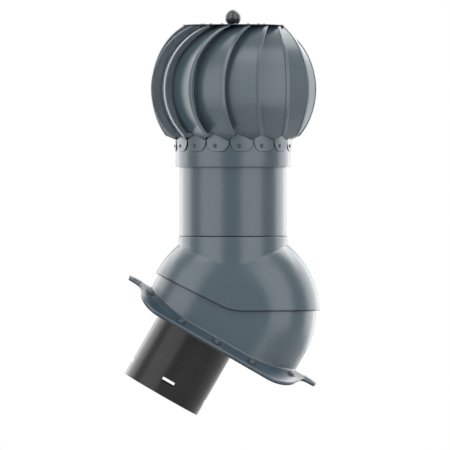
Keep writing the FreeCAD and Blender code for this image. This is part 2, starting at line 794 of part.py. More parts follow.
def vane_band(skin, width):
    """Bent strip from the lip inwards, between two offsets of the vane's ellipse."""
    low, high = skin
    lip = vane_distance
    outer = ellipse_bar(vane_semi_u + high, vane_semi_z + high, lip - width, lip)
    inner = ellipse_bar(vane_semi_u + low, vane_semi_z + low, lip - width - 1, lip + 1)
    return outer.cut(inner)


def vane_blank():
    """Flat outline of the sheet, seen along the vane, as a thick slab."""
    lip = vane_distance
    foot = vane_tip_height - vane_tip_drop
    knee = turbine_middle + vane_knee_rise
    outline = [
        (lip, vane_tip_height), (lip, disc_bottom), (lip - vane_top_width, disc_bottom),
        (lip - vane_width, knee), (lip - vane_width, foot), (lip - vane_tip_run, foot),
    ]
    corners = [Vector(x, 0, z) for x, z in outline]
    face = Part.Face(Part.makePolygon(corners + corners[:1]))
    return face.extrude(Vector(0, -2 * turbine_r, 0))


def vane_tab():
    """Shield-shaped tab, bent to the skirt ring and running up into the sheet."""
    outer_r = skirt_outer_r + vane_sheet
    half = outer_r * math.sin(math.radians(tab_half_angle))
    flat = tab_flat / 2
    side_p = flat + (half - flat) * tab_side_bulge
    side_z = tab_bottom + (tab_shoulder_height - tab_bottom) * (1 - tab_side_bulge)
    peak_p = -half + tab_top_run
    bend_p = -half + tab_top_run * (1 - math.sqrt(0.5))
    bend_z = tab_shoulder_height + (tab_peak_height - tab_shoulder_height) * math.sqrt(0.5)
    left_foot = Vector(0, -flat, tab_bottom)
    right_foot = Vector(0, flat, tab_bottom)
    right_shoulder = Vector(0, half, tab_shoulder_height)
    right_top = Vector(0, half, tab_top_height)
    left_top = Vector(0, peak_p, tab_top_height)
    peak = Vector(0, peak_p, tab_peak_height)
    left_shoulder = Vector(0, -half, tab_shoulder_height)
    steps = [
        Part.LineSegment(left_foot, right_foot),
        Part.Arc(right_foot, Vector(0, side_p, side_z), right_shoulder),
        Part.LineSegment(right_shoulder, right_top),
        Part.LineSegment(right_top, left_top),
        Part.LineSegment(left_top, peak),
        Part.Arc(peak, Vector(0, bend_p, bend_z), left_shoulder),
        Part.Arc(left_shoulder, Vector(0, -side_p, side_z), left_foot),
    ]
    shield = Part.Face(Part.Wire([step.toShape() for step in steps])).extrude(Vector(far, 0, 0))
    skin = tube(outer_r, skirt_outer_r, tab_bottom - 1, tab_top_height + 1)
    tab = turned(skin.common(shield), tab_angle - vane_set_angle)
    inside = ellipse_bar(vane_semi_u - vane_sheet, vane_semi_z - vane_sheet, -far, far)
    tab = tab.cut(inside)
    hole = turned(moved(lying_x(rivet_shank_r), 0, 0, tab_rivet_height), tab_rivet_angle - vane_set_angle)
    return tab.cut(hole)


def lying_x(radius):
    """Long cylinder along +X from the axis."""
    return Part.makeCylinder(radius, far, CENTRE, AXIS_X)


def vane_ear():
    """Flat ear under the disc with its rivet hole."""
    low = disc_bottom - vane_sheet
    side_low = ear_hole_x - ear_half_width
    side_high = ear_hole_x + ear_half_width
    strip = block(side_low, side_high, ear_root_y, ear_hole_y, low, disc_bottom)
    end = moved(rod(ear_half_width, low, disc_bottom), ear_hole_x, ear_hole_y, 0)
    hole = moved(rod(rivet_shank_r, low, disc_bottom), ear_hole_x, ear_hole_y, 0)
    return strip.fuse(end).cut(hole)


def vane():
    """One vane: bent sheet with a hemmed lip, tab and ear."""
    sheet = vane_band((-vane_sheet, 0), vane_width).common(vane_blank())
    hem = vane_band((-vane_sheet / 2, vane_sheet), vane_hem_width).common(vane_blank())
    sheet = sheet.fuse(hem).cut(rod(skirt_outer_r, 0, tab_top_height))
    keep = max(sheet.Solids, key=lambda solid: solid.Volume)
    return keep.fuse([vane_tab(), vane_ear()]).removeSplitter()


def vane_turn(index):
    """Turning angle of a vane about the upright axis."""
    return vane_first_angle - 90 + vane_set_angle + index * vane_step


def top_disc():
    """Flat disc with the rivet holes and the knob's hole."""
    disc = rod(disc_r, disc_bottom, disc_top).cut(rod(knob_stem_r, disc_bottom, disc_top))
    hole = moved(rod(rivet_shank_r, disc_bottom, disc_top), ear_arm, 0, 0)
    for index in range(vane_count):
        disc = disc.cut(turned(hole, vane_turn(index) + ear_turn))
    return disc


def rivet(grip):
    """Blind rivet with its head above the level plane and its tail below the grip."""
    head = dome(rivet_head_r, rivet_head_height)
    shank = rod(rivet_shank_r, -grip, 0)
    tail = rod(rivet_tail_r, -grip - rivet_tail_height, -grip)
    return head.fuse([shank, tail]).removeSplitter()


def top_rivets():
    """Rivets through the disc and the ears."""
    one = moved(rivet(disc_thick + vane_sheet), ear_arm, 0, disc_top)
    return [turned(one, vane_turn(index) + ear_turn) for index in range(vane_count)]


def skirt_rivets():
    """Rivets through the tabs and the skirt ring, their tails rounded to the ring's inside."""
    one = turned(rivet(skirt_wall + vane_sheet), 90, AXIS_Y)
    one = moved(one, skirt_outer_r + vane_sheet, 0, tab_rivet_height)
    shank = moved(lying_x(rivet_shank_r), 0, 0, tab_rivet_height)
    ring = tube(skirt_outer_r, skirt_outer_r - skirt_wall, skirt_bottom, skirt_top).cut(shank)
    one = one.cut(ring)
    return [turned(one, vane_turn(index) + tab_rivet_angle - vane_set_angle) for index in range(vane_count)]


def skirt_ring():
    """Round ring inside the tabs with a small bead rolled at its lower edge."""
    ring = tube(skirt_outer_r, skirt_outer_r - skirt_wall, skirt_bottom, skirt_top)
    bead = Part.makeTorus(skirt_outer_r - skirt_wall / 2, skirt_bead, Vector(0, 0, skirt_bottom + skirt_bead))
    ring = ring.fuse(bead)
    hole = moved(lying_x(rivet_shank_r), 0, 0, tab_rivet_height)
    for index in range(vane_count):
        ring = ring.cut(turned(hole, vane_turn(index) + tab_rivet_angle - vane_set_angle))
    return ring


def ball_knob():
    """Ball on a short neck, with the stem that clamps the disc to the hub."""
    ball = Part.makeSphere(knob_r, Vector(0, 0, disc_top + knob_centre_height))
    ball = ball.cut(rod(2 * knob_r, disc_top - 2 * knob_r, disc_top))
    neck = rod(knob_neck_r, disc_top, disc_top + knob_neck_height)
    stem = rod(knob_stem_r, hub_well_top, disc_top)
    return ball.fuse([neck, stem]).removeSplitter()


def build():
    """Make every piece and write its file."""
    os.makedirs("parts", exist_ok=True)

    export("roof_base", [on_roof(roof_base())])
    export("flange_gasket", [on_roof(flange_gasket())])
    export("flange_washers", [on_roof(flange_place(flange_washer(), s, y)) for s, y in screw_places()])
    export("flange_screws", [on_roof(flange_place(flange_screw(), s, y)) for s, y in screw_places()])
    export("inlet_pipe", [on_roof(inlet_pipe())])
    export("inlet_seal", [on_roof(inlet_seal())])
    export("inlet_screws", [on_roof(screw) for screw in inlet_screws()])

    export("hood", [upright(hood())])
    export("clamp_washers", [upright(piece) for piece in clamp_turn(clamp_washer())])
    export("clamp_screws", [upright(piece) for piece in clamp_turn(clamp_screw())])
    export("jacket_tube", [upright(jacket_tube())])
    export("axle_bracket", [upright(axle_bracket())])
    export("bracket_rivets", [upright(piece) for piece in bracket_rivets()])
    export("axle", [upright(axle())])
    nut_top = bracket_height - axle_washer_thick
    washer = tube(axle_washer_r, axle_thread_r, nut_top, bracket_height)
    export("axle_washer", [upright(washer)])
    nut = hexagon(axle_nut_flats, nut_top - axle_nut_height, nut_top).cut(rod(axle_thread_r, 0, far))
    export("axle_nut", [upright(nut)])
    tip_nut = hexagon(tip_nut_flats, upper_bearing_top, upper_bearing_top + tip_nut_height)
    export("axle_tip_nut", [upright(tip_nut.cut(rod(axle_tip_r, 0, 2 * far)))])

    cages = []
    for name, top in (("upper_bearing", upper_bearing_top), ("lower_bearing", lower_bearing_top)):
        outer, inner, balls, cage = bearing_rings(top)
        export(name + "_outer_ring", [upright(outer)])
        export(name + "_inner_ring", [upright(inner)])
        export(name + "_balls", [upright(ball) for ball in balls])
        cages.append(upright(cage))
    export("bearing_cages", cages)
    gap_low = lower_bearing_top
    gap_high = upper_bearing_top - bearing_width
    inner_spacer = tube(bearing_bore_r + spacer_wall, bearing_bore_r, gap_low, gap_high)
    outer_spacer = tube(bearing_outer_r, bearing_outer_r - spacer_wall, gap_low, gap_high)
    export("inner_spacer", [upright(inner_spacer)])
    export("outer_spacer", [upright(outer_spacer)])

    export("rotor_hub", [upright(rotor_hub())])
    export("bearing_circlip", [upright(bearing_circlip())])
    export("top_disc", [upright(top_disc())])
    export("ball_knob", [upright(ball_knob())])
    export("top_rivets", [upright(piece) for piece in top_rivets()])
    export("skirt_ring", [upright(skirt_ring())])
    export("skirt_rivets", [upright(piece) for piece in skirt_rivets()])
    blank = vane()
    for index in range(vane_count):
        export("vane_%02d" % (index + 1), [upright(turned(blank, vane_turn(index)))])


build()
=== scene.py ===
import json
import math

import bmesh
import bpy
import numpy as np
from bpy.props import FloatProperty, FloatVectorProperty, IntProperty, PointerProperty
from bpy.types import Operator, Panel, PropertyGroup
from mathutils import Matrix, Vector


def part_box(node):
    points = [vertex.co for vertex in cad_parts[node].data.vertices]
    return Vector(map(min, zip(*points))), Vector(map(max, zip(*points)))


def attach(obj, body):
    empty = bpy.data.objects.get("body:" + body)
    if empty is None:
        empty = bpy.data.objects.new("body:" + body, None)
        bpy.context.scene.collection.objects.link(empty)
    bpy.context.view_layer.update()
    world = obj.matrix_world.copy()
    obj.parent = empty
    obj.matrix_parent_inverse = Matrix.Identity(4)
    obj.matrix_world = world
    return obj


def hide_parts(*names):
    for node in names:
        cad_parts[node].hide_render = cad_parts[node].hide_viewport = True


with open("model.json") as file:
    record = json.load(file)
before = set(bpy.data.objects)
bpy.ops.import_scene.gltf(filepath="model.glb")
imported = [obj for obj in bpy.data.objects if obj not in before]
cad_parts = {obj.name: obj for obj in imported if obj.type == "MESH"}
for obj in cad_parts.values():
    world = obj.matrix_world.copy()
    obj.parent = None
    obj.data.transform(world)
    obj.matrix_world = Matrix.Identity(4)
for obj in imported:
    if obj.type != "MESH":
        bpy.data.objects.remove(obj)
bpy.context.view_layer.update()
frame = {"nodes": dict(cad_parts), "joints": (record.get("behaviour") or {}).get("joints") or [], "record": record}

bl_info = {
    "name": "Rotating chimney cowl",
    "version": (1, 0, 0),
    "blender": (4, 5, 0),
    "location": "3D View > Sidebar > Cowl",
    "description": "Finishes a wind-driven roof cowl piece by piece and sets it in a plain studio",
    "category": "Object",
}

# Places read from the frame
PIVOT = np.array(next(j for j in frame["joints"] if j["name"] == "hood_tilt")["pos_m"])
PIPE_AXIS = next(m for m in frame["record"]["mounts"] if m["name"] == "inlet_spigot")["axis"]
PITCH = math.atan2(-PIPE_AXIS[0], -PIPE_AXIS[2])

# Units, the distance in metres that welds points, the angle in degrees that keeps an edge sharp, the
# number of halvings that find a radius, and the number of columns round a large piece
MM = 0.001
FULL = 2 * math.pi
WELD = 2e-6
SHARP = 38.0
HALVINGS = 40
COLUMNS = 240


def above_pivot(node, corner):
    """Height of a node's lowest or highest corner above the hood's centre."""
    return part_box(node)[corner].z - PIVOT[2]


def half_depth(node):
    """Half of a round node's size along Y, which is its outer radius."""
    low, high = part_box(node)
    return (high.y - low.y) / 2


def size(name, description, default):
    """A length in metres that a user can change."""
    return FloatProperty(name=name, description=description, default=default, min=0.0, unit="LENGTH",
                         precision=5)


def shift(name, description, default):
    """A length in metres that a user can change and that may be below zero."""
    return FloatProperty(name=name, description=description, default=default, unit="LENGTH", precision=5)


def angle(name, description, degrees):
    """An angle that a user can change."""
    return FloatProperty(name=name, description=description, default=math.radians(degrees), subtype="ANGLE")


def colour(name, description, default):
    """A linear colour that a user can change."""
    return FloatVectorProperty(name=name, description=description, default=default, size=3, min=0.0, max=1.0,
                               subtype="COLOR")


class CowlTurbineSizes(PropertyGroup):
    """Sizes of the spinning half, counted from the hood's centre."""

    vane_count: IntProperty(name="Vanes", description="Number of vanes", default=15, min=3)
    first_angle: angle("First vane", "Turning angle of the first vane", -12.0)
    radius: size("Radius", "Radius of the vanes' lips at mid height", 126.4 * MM)
    half_height: size("Half height", "Half height of the whole ball of vanes", 119.8 * MM)
    set_angle: angle("Set angle", "Angle of a vane's sheet to the spoke through its lip", 60.0)
    sheet: size("Sheet", "Thickness of the vanes' sheet", 0.8 * MM)
    width: size("Vane width", "Width of a vane below its knee", 55.8 * MM)
    top_width: size("Top width", "Width of a vane under the disc", 41.0 * MM)
    knee_rise: size("Knee rise", "Height above the middle from which a vane tapers", 43.0 * MM)
    hem: size("Hem", "Width of the folded hem at the lip", 5.2 * MM)
    inner_hem: size("Inner hem", "Width of the folded hem at the inner edge", 3.4 * MM)
    lip_bend: angle("Lip bend", "Angle that the hem at the lip is bent inwards", 16.0)
    tip_run: size("Tip run", "Width of the sloping cut at the lip's lower end", 18.0 * MM)
    tip_drop: size("Tip drop", "Height of the sloping cut at the lip's lower end", 8.0 * MM)
    tip_depth: size("Tip depth", "Lip's lower end below the height where vane and skirt meet", 3.7 * MM)
    disc_radius: size("Disc radius", "Radius of the top disc", half_depth("top_disc"))
    disc_top: size("Disc top", "Height of the disc's upper face", above_pivot("top_disc", 1))
    disc_bottom: size("Disc bottom", "Height of the disc's lower face", above_pivot("top_disc", 0))
    skirt_radius: size("Skirt radius", "Outer radius of the skirt ring", 86.0 * MM)
    skirt_wall: size("Skirt wall", "Thickness of the skirt ring", 1.0 * MM)
    skirt_top: size("Skirt top", "Height of the skirt ring's upper edge", above_pivot("skirt_ring", 1))
    skirt_bottom: size("Skirt bottom", "Height of the skirt ring's lower edge", above_pivot("skirt_ring", 0))
    skirt_bead: size("Skirt bead", "Radius of the bead rolled at the skirt's lower edge", 0.6 * MM)
    tab_angle: angle("Tab angle", "Turn of a tab from its vane's lip normal", -9.3)
    tab_rivet_angle: angle("Tab rivet angle", "Turn of a tab's rivet from its vane's lip normal", -12.2)
    tab_lift: size("Tab lift", "How far a tab's end stands off the skirt ring", 1.1 * MM)
    tab_half_angle: angle("Tab half width", "Half of a tab's width, as an angle", 11.4)
    tab_flat: size("Tab foot", "Width of a tab's level foot", 10.0 * MM)
    tab_shoulder: size("Tab shoulder", "Height of a tab's widest place", 257.5 * MM)
    tab_depth: size("Tab depth", "Depth of a tab below its shoulder", 16.5 * MM)
    tab_peak: size("Tab peak", "Height of a tab's free corner above its shoulder", 7.0 * MM)
    tab_peak_run: size("Tab peak run", "Width of a tab's free corner", 9.0 * MM)
    ear_arm: size("Ear arm", "Distance of the top rivets from the axis", 48.0 * MM)
    ear_angle: angle("Ear angle", "Turn of an ear from its vane's lip normal", 10.4)
    ear_half: size("Ear half width", "Half width of an ear", 5.5 * MM)
    rivet_head: size("Rivet head", "Radius of a blind rivet's head", 2.8 * MM)
    rivet_height: size("Rivet height", "Height of a blind rivet's head", 1.5 * MM)
    rivet_shank: size("Rivet shank", "Radius of a blind rivet's shank", 1.6 * MM)
    rivet_tail: size("Rivet tail", "Radius of a blind rivet's tail", 2.3 * MM)
    rivet_rise: size("Rivet rise", "Height of the tab rivets above the tabs' feet", 8.0 * MM)
    knob_radius: size("Knob radius", "Radius of the ball knob", half_depth("ball_knob"))
    knob_rise: size("Knob rise", "Height of the ball's centre above the disc", 10.3 * MM)
    knob_neck: size("Knob neck", "Radius of the knob's neck", 6.5 * MM)


class CowlHeadSizes(PropertyGroup):
    """Sizes of the tilting half, counted from the hood's centre."""

    tube_radius: size("Tube radius", "Outer radius of the jacket tube", half_depth("jacket_tube"))
    tube_wall: size("Tube wall", "Thickness of the jacket tube", 1.5 * MM)
    tube_top: size("Tube top", "Height of the tube's upper edge", above_pivot("jacket_tube", 1))
    tube_seat: size("Tube seat", "Height of the tube's lower edge", above_pivot("jacket_tube", 0))
    cheek_flat: size("Cheek flat", "Radius of the flat cheeks of the wheel form", 44.35 * MM)
    shoulder: size("Shoulder", "Half width of the hood across its cheeks", 85.4 * MM)
    wall: size("Wall", "Thickness of the hood", 2.0 * MM)
    collar_radius: size("Collar radius", "Outer radius of the collar", 81.5 * MM)
    collar_bore: size("Collar bore", "Radius of the seat that the tube stands in", 80.05 * MM)
    opening: size("Opening", "Radius of the hood's opening under the tube", 77.5 * MM)
    collar_top: size("Collar top", "Height of the collar's upper edge", above_pivot("hood", 1))
    collar_edge: size("Collar edge", "Radius of the collar's upper edge", 1.0 * MM)
    rim_height: size("Rim height", "Height of the level part of the rim", 2.2 * MM)
    rim_bend: shift("Rim bend", "Where the rim's two straight parts would meet", -2.3 * MM)
    rim_angle: angle("Rim angle", "Rise of the rim on the high side of the roof", 26.5)
    rim_blend: size("Rim blend", "Radius that joins the rim's two parts", 75.0 * MM)
    crease: size("Crease", "Softness of the crease between the collar and the hood", 0.5 * MM)
    rib_side: size("Rib place", "Distance of the guide ribs from the middle plane", 40.0 * MM)
    rib_half: size("Rib half width", "Half width of a guide rib", 1.5 * MM)
    guide_gap: size("Guide gap", "Gap from the base to the ribs and the bosses", 0.3 * MM)
    boss_radius: size("Boss radius", "Radius of the clamp screws' bosses", 8.0 * MM)
    clamp_arm: size("Clamp arm", "Distance of the clamp screws from the tilting axis", 31.0 * MM)
    clamp_angle: angle("Clamp angle", "Turn of the clamp screws from the upright", 12.0)


class CowlBaseSizes(PropertyGroup):
    """Sizes of the roof base, counted from the hood's centre along the roof's normal."""

    shoulder: size("Shoulder", "Half width of the base across its cheeks", 80.15 * MM)
    wall: size("Wall", "Thickness of the base's wall", 2.5 * MM)
    mouth: size("Mouth", "Height of the base's mouth", 90.0 * MM)
    crest: size("Crest depth", "Depth of the flange's crest", 29.3 * MM)
    bend: size("Bend", "Radius that the flange is bent to", 218.0 * MM)
    thick: size("Flange thickness", "Thickness of the flange", 3.0 * MM)
    half_width: size("Half width", "Half width of the flange in the plan", half_depth("roof_base"))
    straight: size("Straight", "Half length of the flange's straight sides", 94.0 * MM)
    corner: size("Corner", "Radius of the flange's corners", 39.0 * MM)
    corner_turn: angle("Corner turn", "Turn of the flange's corners", 77.0)
    neck: size("Neck", "Radius where the corners sweep into the tongues", 16.0 * MM)
    tongue_half: size("Tongue half width", "Half width of a tongue", 30.0 * MM)
    tongue_straight: size("Tongue side", "Straight side of a tongue", 0.6 * MM)
    tongue_corner: size("Tongue corner", "Radius of a tongue's corners", 6.0 * MM)
    pad_length: size("Pad length", "Length of the raised pad on a tongue", 19.0 * MM)
    pad_inset: size("Pad inset", "Distance of a pad from the tongue's edges", 3.0 * MM)
    pad_height: size("Pad height", "Height of a pad above the flange", 1.0 * MM)
    foot_fillet: size("Foot fillet", "Radius between the wall and the flange", 2.0 * MM)
    edge: size("Edge", "Radius of the flange's upper edge", 1.1 * MM)
    recess: size("Recess", "Radius of the round recess under a screw's washer", 7.0 * MM)
    recess_depth: size("Recess depth", "Depth of that recess", 0.8 * MM)
    row_pitch: size("Row pitch", "Pitch of the screws along the sides", 60.6 * MM)
    row_inset: size("Row inset", "Distance of the side screws from the border", 9.5 * MM)
    corner_back: size("Corner screw back", "Corner screws from the corner arc's end along the slope",
                      11.0 * MM)
    corner_inset: size("Corner screw inset", "Corner screws from the corner arc's end across the slope",
                       16.8 * MM)
    washer: size("Washer", "Radius of the rubber washers", 6.6 * MM)
    washer_thick: size("Washer thickness", "Thickness of the rubber washers", 1.2 * MM)
    screw_collar: size("Screw collar", "Radius of the screws' collars", 4.8 * MM)
    screw_collar_height: size("Collar height", "Height of the screws' collars", 1.0 * MM)
    screw_flats: size("Screw flats", "Width across the hexagon's flats", 7.0 * MM)
    screw_hexagon: size("Hexagon height", "Height of the hexagon", 2.6 * MM)
    screw_shank: size("Screw shank", "Radius of the screws' shanks", 2.4 * MM)
    screw_length: size("Screw length", "Length of the screws' shanks", 9.5 * MM)
    pipe_radius: size("Pipe radius", "Outer radius of the inlet pipe", 62.5 * MM)
    pipe_wall: size("Pipe wall", "Thickness of the inlet pipe", 2.5 * MM)
    pipe_shift: shift("Pipe shift", "Place of the pipe's axis along the slope", -32.0 * MM)
    pipe_mouth: size("Pipe mouth", "Depth of the pipe's mouth", 161.0 * MM)
    pipe_collar: size("Pipe collar", "Radius of the pipe's collar", 72.0 * MM)
    pipe_collar_low: size("Pipe top", "Depth of the pipe's top end", 33.3 * MM)
    pipe_collar_thick: size("Collar thickness", "Thickness of the pipe's collar", 2.5 * MM)
    slot_width: size("Slot width", "Width of the pipe's slots", 20.7 * MM)
    slot_height: size("Slot height", "Height of the pipe's slots", 6.6 * MM)
    slot_rise: size("Slot rise", "Height of the slots above the pipe's mouth", 23.0 * MM)
    slot_reach: angle("Slot reach", "Arc slots' half reach in the cheeks", 20.5)
    floor_thick: size("Floor", "Thickness of the base's floor", 2.5 * MM)


class CowlFinishes(PropertyGroup):
    """Colours of the finishes, linear."""

    moulding: colour("Moulding", "Graphite plastic of the hood and the base", (0.034, 0.058, 0.075))
    sheet: colour("Sheet", "Graphite paint of the sheet metal", (0.030, 0.051, 0.067))
    # Painted light: the vanes have the sheet's graphite paint, and this paler copy stands in for the light that
    # they catch.
    vane: colour("Vane", "Graphite paint of the vanes, a little paler", (0.046, 0.070, 0.085))
    primer: colour("Primer", "Pale primer on the back of the vanes' sheet", (0.50, 0.56, 0.60))
    knob: colour("Knob", "Darker graphite paint of the ball knob and the tab rivets", (0.010, 0.017, 0.022))
    screw: colour("Screw", "Graphite paint of the flange screws", (0.060, 0.082, 0.100))
    pipe: colour("Pipe", "Black plastic of the inlet pipe", (0.007, 0.007, 0.007))
    rubber: colour("Rubber", "Black rubber of washers, seal and gasket", (0.018, 0.018, 0.019))
    zinc: colour("Zinc", "Zinc-plated steel", (0.55, 0.56, 0.58))
    steel: colour("Steel", "Turned steel", (0.60, 0.60, 0.61))
    aluminium: colour("Aluminium", "Turned aluminium", (0.72, 0.72, 0.74))
    cage: colour("Cage", "Plastic of the bearing cages", (0.58, 0.55, 0.44))


class CowlStageSizes(PropertyGroup):
    """Camera and lamps."""

    camera_distance: size("Camera distance", "Distance of the camera from the object", 15.0)
    camera_height: angle("Camera height", "Elevation of the camera above the horizon", 0.35)
    view_width: size("View width", "Width of the object's space that the photograph shows", 675.0 * MM)
    view_centre_x: shift("View centre across", "Photograph's centre from the pivot", -12.0 * MM)
    view_centre_z: size("View centre up", "Photograph's centre above the pivot", 130.5 * MM)
    floor_drop: size("Floor drop", "Depth of the floor under the pipe's mouth", 125.0 * MM)
    floor_reach: size("Floor reach", "Radius of the round floor", 1.35)


# Surfaces

def upright(points):
    """Points counted from the hood's centre, +Z up: the pivot is added."""
    return points + PIVOT


def on_roof(points):
    """Points counted from the hood's centre along the slope, across it and along the roof's normal,
    leaned by the pitch about +Y: x = s cos + h sin, z = h cos - s sin."""
    s, y, h = points[..., 0], points[..., 1], points[..., 2]
    leaned = np.stack([s * math.cos(PITCH) + h * math.sin(PITCH), y,
                       h * math.cos(PITCH) - s * math.sin(PITCH)], -1)
    return leaned + PIVOT


def turned(points, turn):
    """Points turned about +Z: x = x cos - y sin, y = x sin + y cos."""
    c, s = math.cos(turn), math.sin(turn)
    return points @ np.array([[c, s, 0.0], [-s, c, 0.0], [0.0, 0.0, 1.0]])


def moved(points, x=0.0, y=0.0, z=0.0):
    """Points shifted by x, y, z."""
    return points + np.array([x, y, z])


def cells(rows, cols, wrap_rows, wrap_cols, first):
    """Corner numbers of every cell of a grid, counted on from first, wrapped where asked."""
    i, j = np.meshgrid(np.arange(rows if wrap_rows else rows - 1),
                       np.arange(cols if wrap_cols else cols - 1), indexing="ij")
    i, j = i.ravel(), j.ravel()
    below, beside = (i + 1) % rows, (j + 1) % cols
    return first + np.stack([i * cols + j, i * cols + beside, below * cols + beside, below * cols + j], -1)


def new_mesh(name, grids, sharp=SHARP):
    """One closed mesh of several grids of points, each given with its wrap in rows and columns.
    Poles and seams are welded and the faces turned outwards."""
    points, faces, first = [], [], 0
    for grid, wrap_rows, wrap_cols in grids:
        rows, cols = grid.shape[:2]
        points.append(grid.reshape(-1, 3))
        faces.append(cells(rows, cols, wrap_rows, wrap_cols, first))
        first += rows * cols
    mesh = bpy.data.meshes.new(name)
    mesh.from_pydata(np.concatenate(points).tolist(), [], np.concatenate(faces).tolist())
    shell = bmesh.new()
    shell.from_mesh(mesh)
    bmesh.ops.remove_doubles(shell, verts=shell.verts, dist=WELD)
    bmesh.ops.dissolve_degenerate(shell, edges=shell.edges, dist=WELD / 10)
    bmesh.ops.recalc_face_normals(shell, faces=shell.faces)
    shell.to_mesh(mesh)
    shell.free()
    soften(mesh, sharp)
    return mesh


def soften(mesh, sharp=SHARP):
    """Smooth shading, with edges over the angle kept sharp."""
    mesh.polygons.foreach_set("use_smooth", np.ones(len(mesh.polygons), bool))
    mesh.set_sharp_from_angle(angle=math.radians(sharp))


def new_object(name, mesh):
    """An object at the origin that shows the mesh."""
    piece = bpy.data.objects.new(name, mesh)
    bpy.context.scene.collection.objects.link(piece)
    return piece


def dress(piece, finish, body, node):
    """Gives a piece its finish and its body, and hides the node that it stands for."""
    piece.data.materials.clear()
    piece.data.materials.append(material(finish))
    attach(piece, body)
    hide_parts(node)
    return piece


def show(name, grids, finish, body, node, sharp=SHARP):
    """Makes a piece of grids and dresses it."""
    return dress(new_object(name, new_mesh(name, grids, sharp)), finish, body, node)


def carve(piece, cutters):
    """Takes closed cutters away from a closed piece and keeps the result as its mesh."""
    tool = new_object("cutter", new_mesh("cutter", cutters))
    step = piece.modifiers.new("carve", "BOOLEAN")
    step.operation = "DIFFERENCE"
    step.solver = "EXACT"
    step.object = tool
    graph = bpy.context.evaluated_depsgraph_get()
    carved = bpy.data.meshes.new_from_object(piece.evaluated_get(graph))
    piece.modifiers.clear()
    old = piece.data
    piece.data = carved
    bpy.data.objects.remove(tool)
    bpy.data.meshes.remove(old)
    soften(carved)
    return piece


def rounded(corners, steps=5):
    """Closed outline with round corners. A corner is (a, b, radius). Its arc touches both sides at
    radius / tan(half the corner's angle), and its points turn evenly from one side to the other."""
    flat = np.array([(a, b) for a, b, _ in corners], float)
    outline = []
    for k, (_, _, radius) in enumerate(corners):
        here = flat[k]
        back = flat[k - 1] - here
        ahead = flat[(k + 1) % len(flat)] - here
        back, ahead = back / np.linalg.norm(back), ahead / np.linalg.norm(ahead)
        opening = math.acos(float(np.clip(back @ ahead, -1.0, 1.0)))
        if radius == 0.0 or opening > math.pi - 1e-6:
            outline.append(here[None])
            continue
        reach = radius / math.tan(opening / 2)
        centre = here + (back + ahead) / np.linalg.norm(back + ahead) * radius / math.sin(opening / 2)
        start, end = here + back * reach - centre, here + ahead * reach - centre
        sweep = math.pi - opening
        part = np.linspace(0.0, 1.0, steps + 1)[:, None]
        spoke = np.sin((1 - part) * sweep) * start + np.sin(part * sweep) * end
        outline.append(centre + spoke / math.sin(sweep))
    return np.concatenate(outline)


def lathe(profile, count, closed=True, flats=None):
    """Profile of (radius, height) carried round the axis: x = r cos a, y = r sin a. With flats, the
    radius is cut to a hexagon of that width. An open profile starts and ends on the axis."""
    a = np.linspace(0.0, FULL, count, endpoint=False)[:, None]
    radius = np.broadcast_to(profile[:, 0], (count, len(profile)))
    if flats is not None:
        away = (a + math.pi / 6) % (math.pi / 3) - math.pi / 6
        side = flats / 2 / np.cos(np.pi / 6 - np.abs(away))
        radius = np.minimum(radius, side)
    height = np.broadcast_to(profile[:, 1], radius.shape)
    return np.stack([radius * np.cos(a), radius * np.sin(a), height], -1), True, closed


def placed(grid, place):
    """A grid with its points sent through a function, its wraps kept."""
    return place(grid[0]), grid[1], grid[2]


def wheel_radius(turn, height, shoulder, flat):
    """Plan radius of a wheel about +Y at a turning angle and a height: the place where the root of
    (sqrt(x^2 + z^2) - flat)^2 + y^2 equals the shoulder, found by halving."""
    turn, height = np.broadcast_arrays(turn, height)
    low, high = np.zeros(turn.shape), np.full(turn.shape, flat + shoulder)
    for _ in range(HALVINGS):
        middle = (low + high) / 2
        rise = np.maximum(np.hypot(middle * np.cos(turn), height) - flat, 0.0)
        outside = np.hypot(rise, middle * np.sin(turn)) > shoulder
        low, high = np.where(outside, low, middle), np.where(outside, middle, high)
    return (low + high) / 2


def round_grid(turn, chain):
    """Closed chain of (radius, height) columns carried round the axis at turning angles."""
    radius = np.concatenate([np.broadcast_to(r, (len(turn), np.shape(r)[-1])) for r, _ in chain], 1)
    height = np.concatenate([np.broadcast_to(h, (len(turn), np.shape(h)[-1])) for _, h in chain], 1)
    return np.stack([radius * np.cos(turn), radius * np.sin(turn), height], -1), True, True


# Turbine

def vane_ellipse(t):
    """Lip distance and half axes of the upright ellipse that a vane's sheet is bent to."""
    lean = math.sin(t.set_angle)
    return t.radius * math.cos(t.set_angle), t.radius * lean, t.half_height * lean


def turbine_middle(t):
    """Mid height of the vanes, found from the disc: the lip meets the disc's edge under it."""
    lip, semi_u, semi_z = vane_ellipse(t)
    overhang = 0.4 * MM
    across = math.sqrt((t.disc_radius - overhang) ** 2 - lip ** 2)
    return t.disc_bottom - semi_z * math.sqrt(1 - (across / semi_u) ** 2)


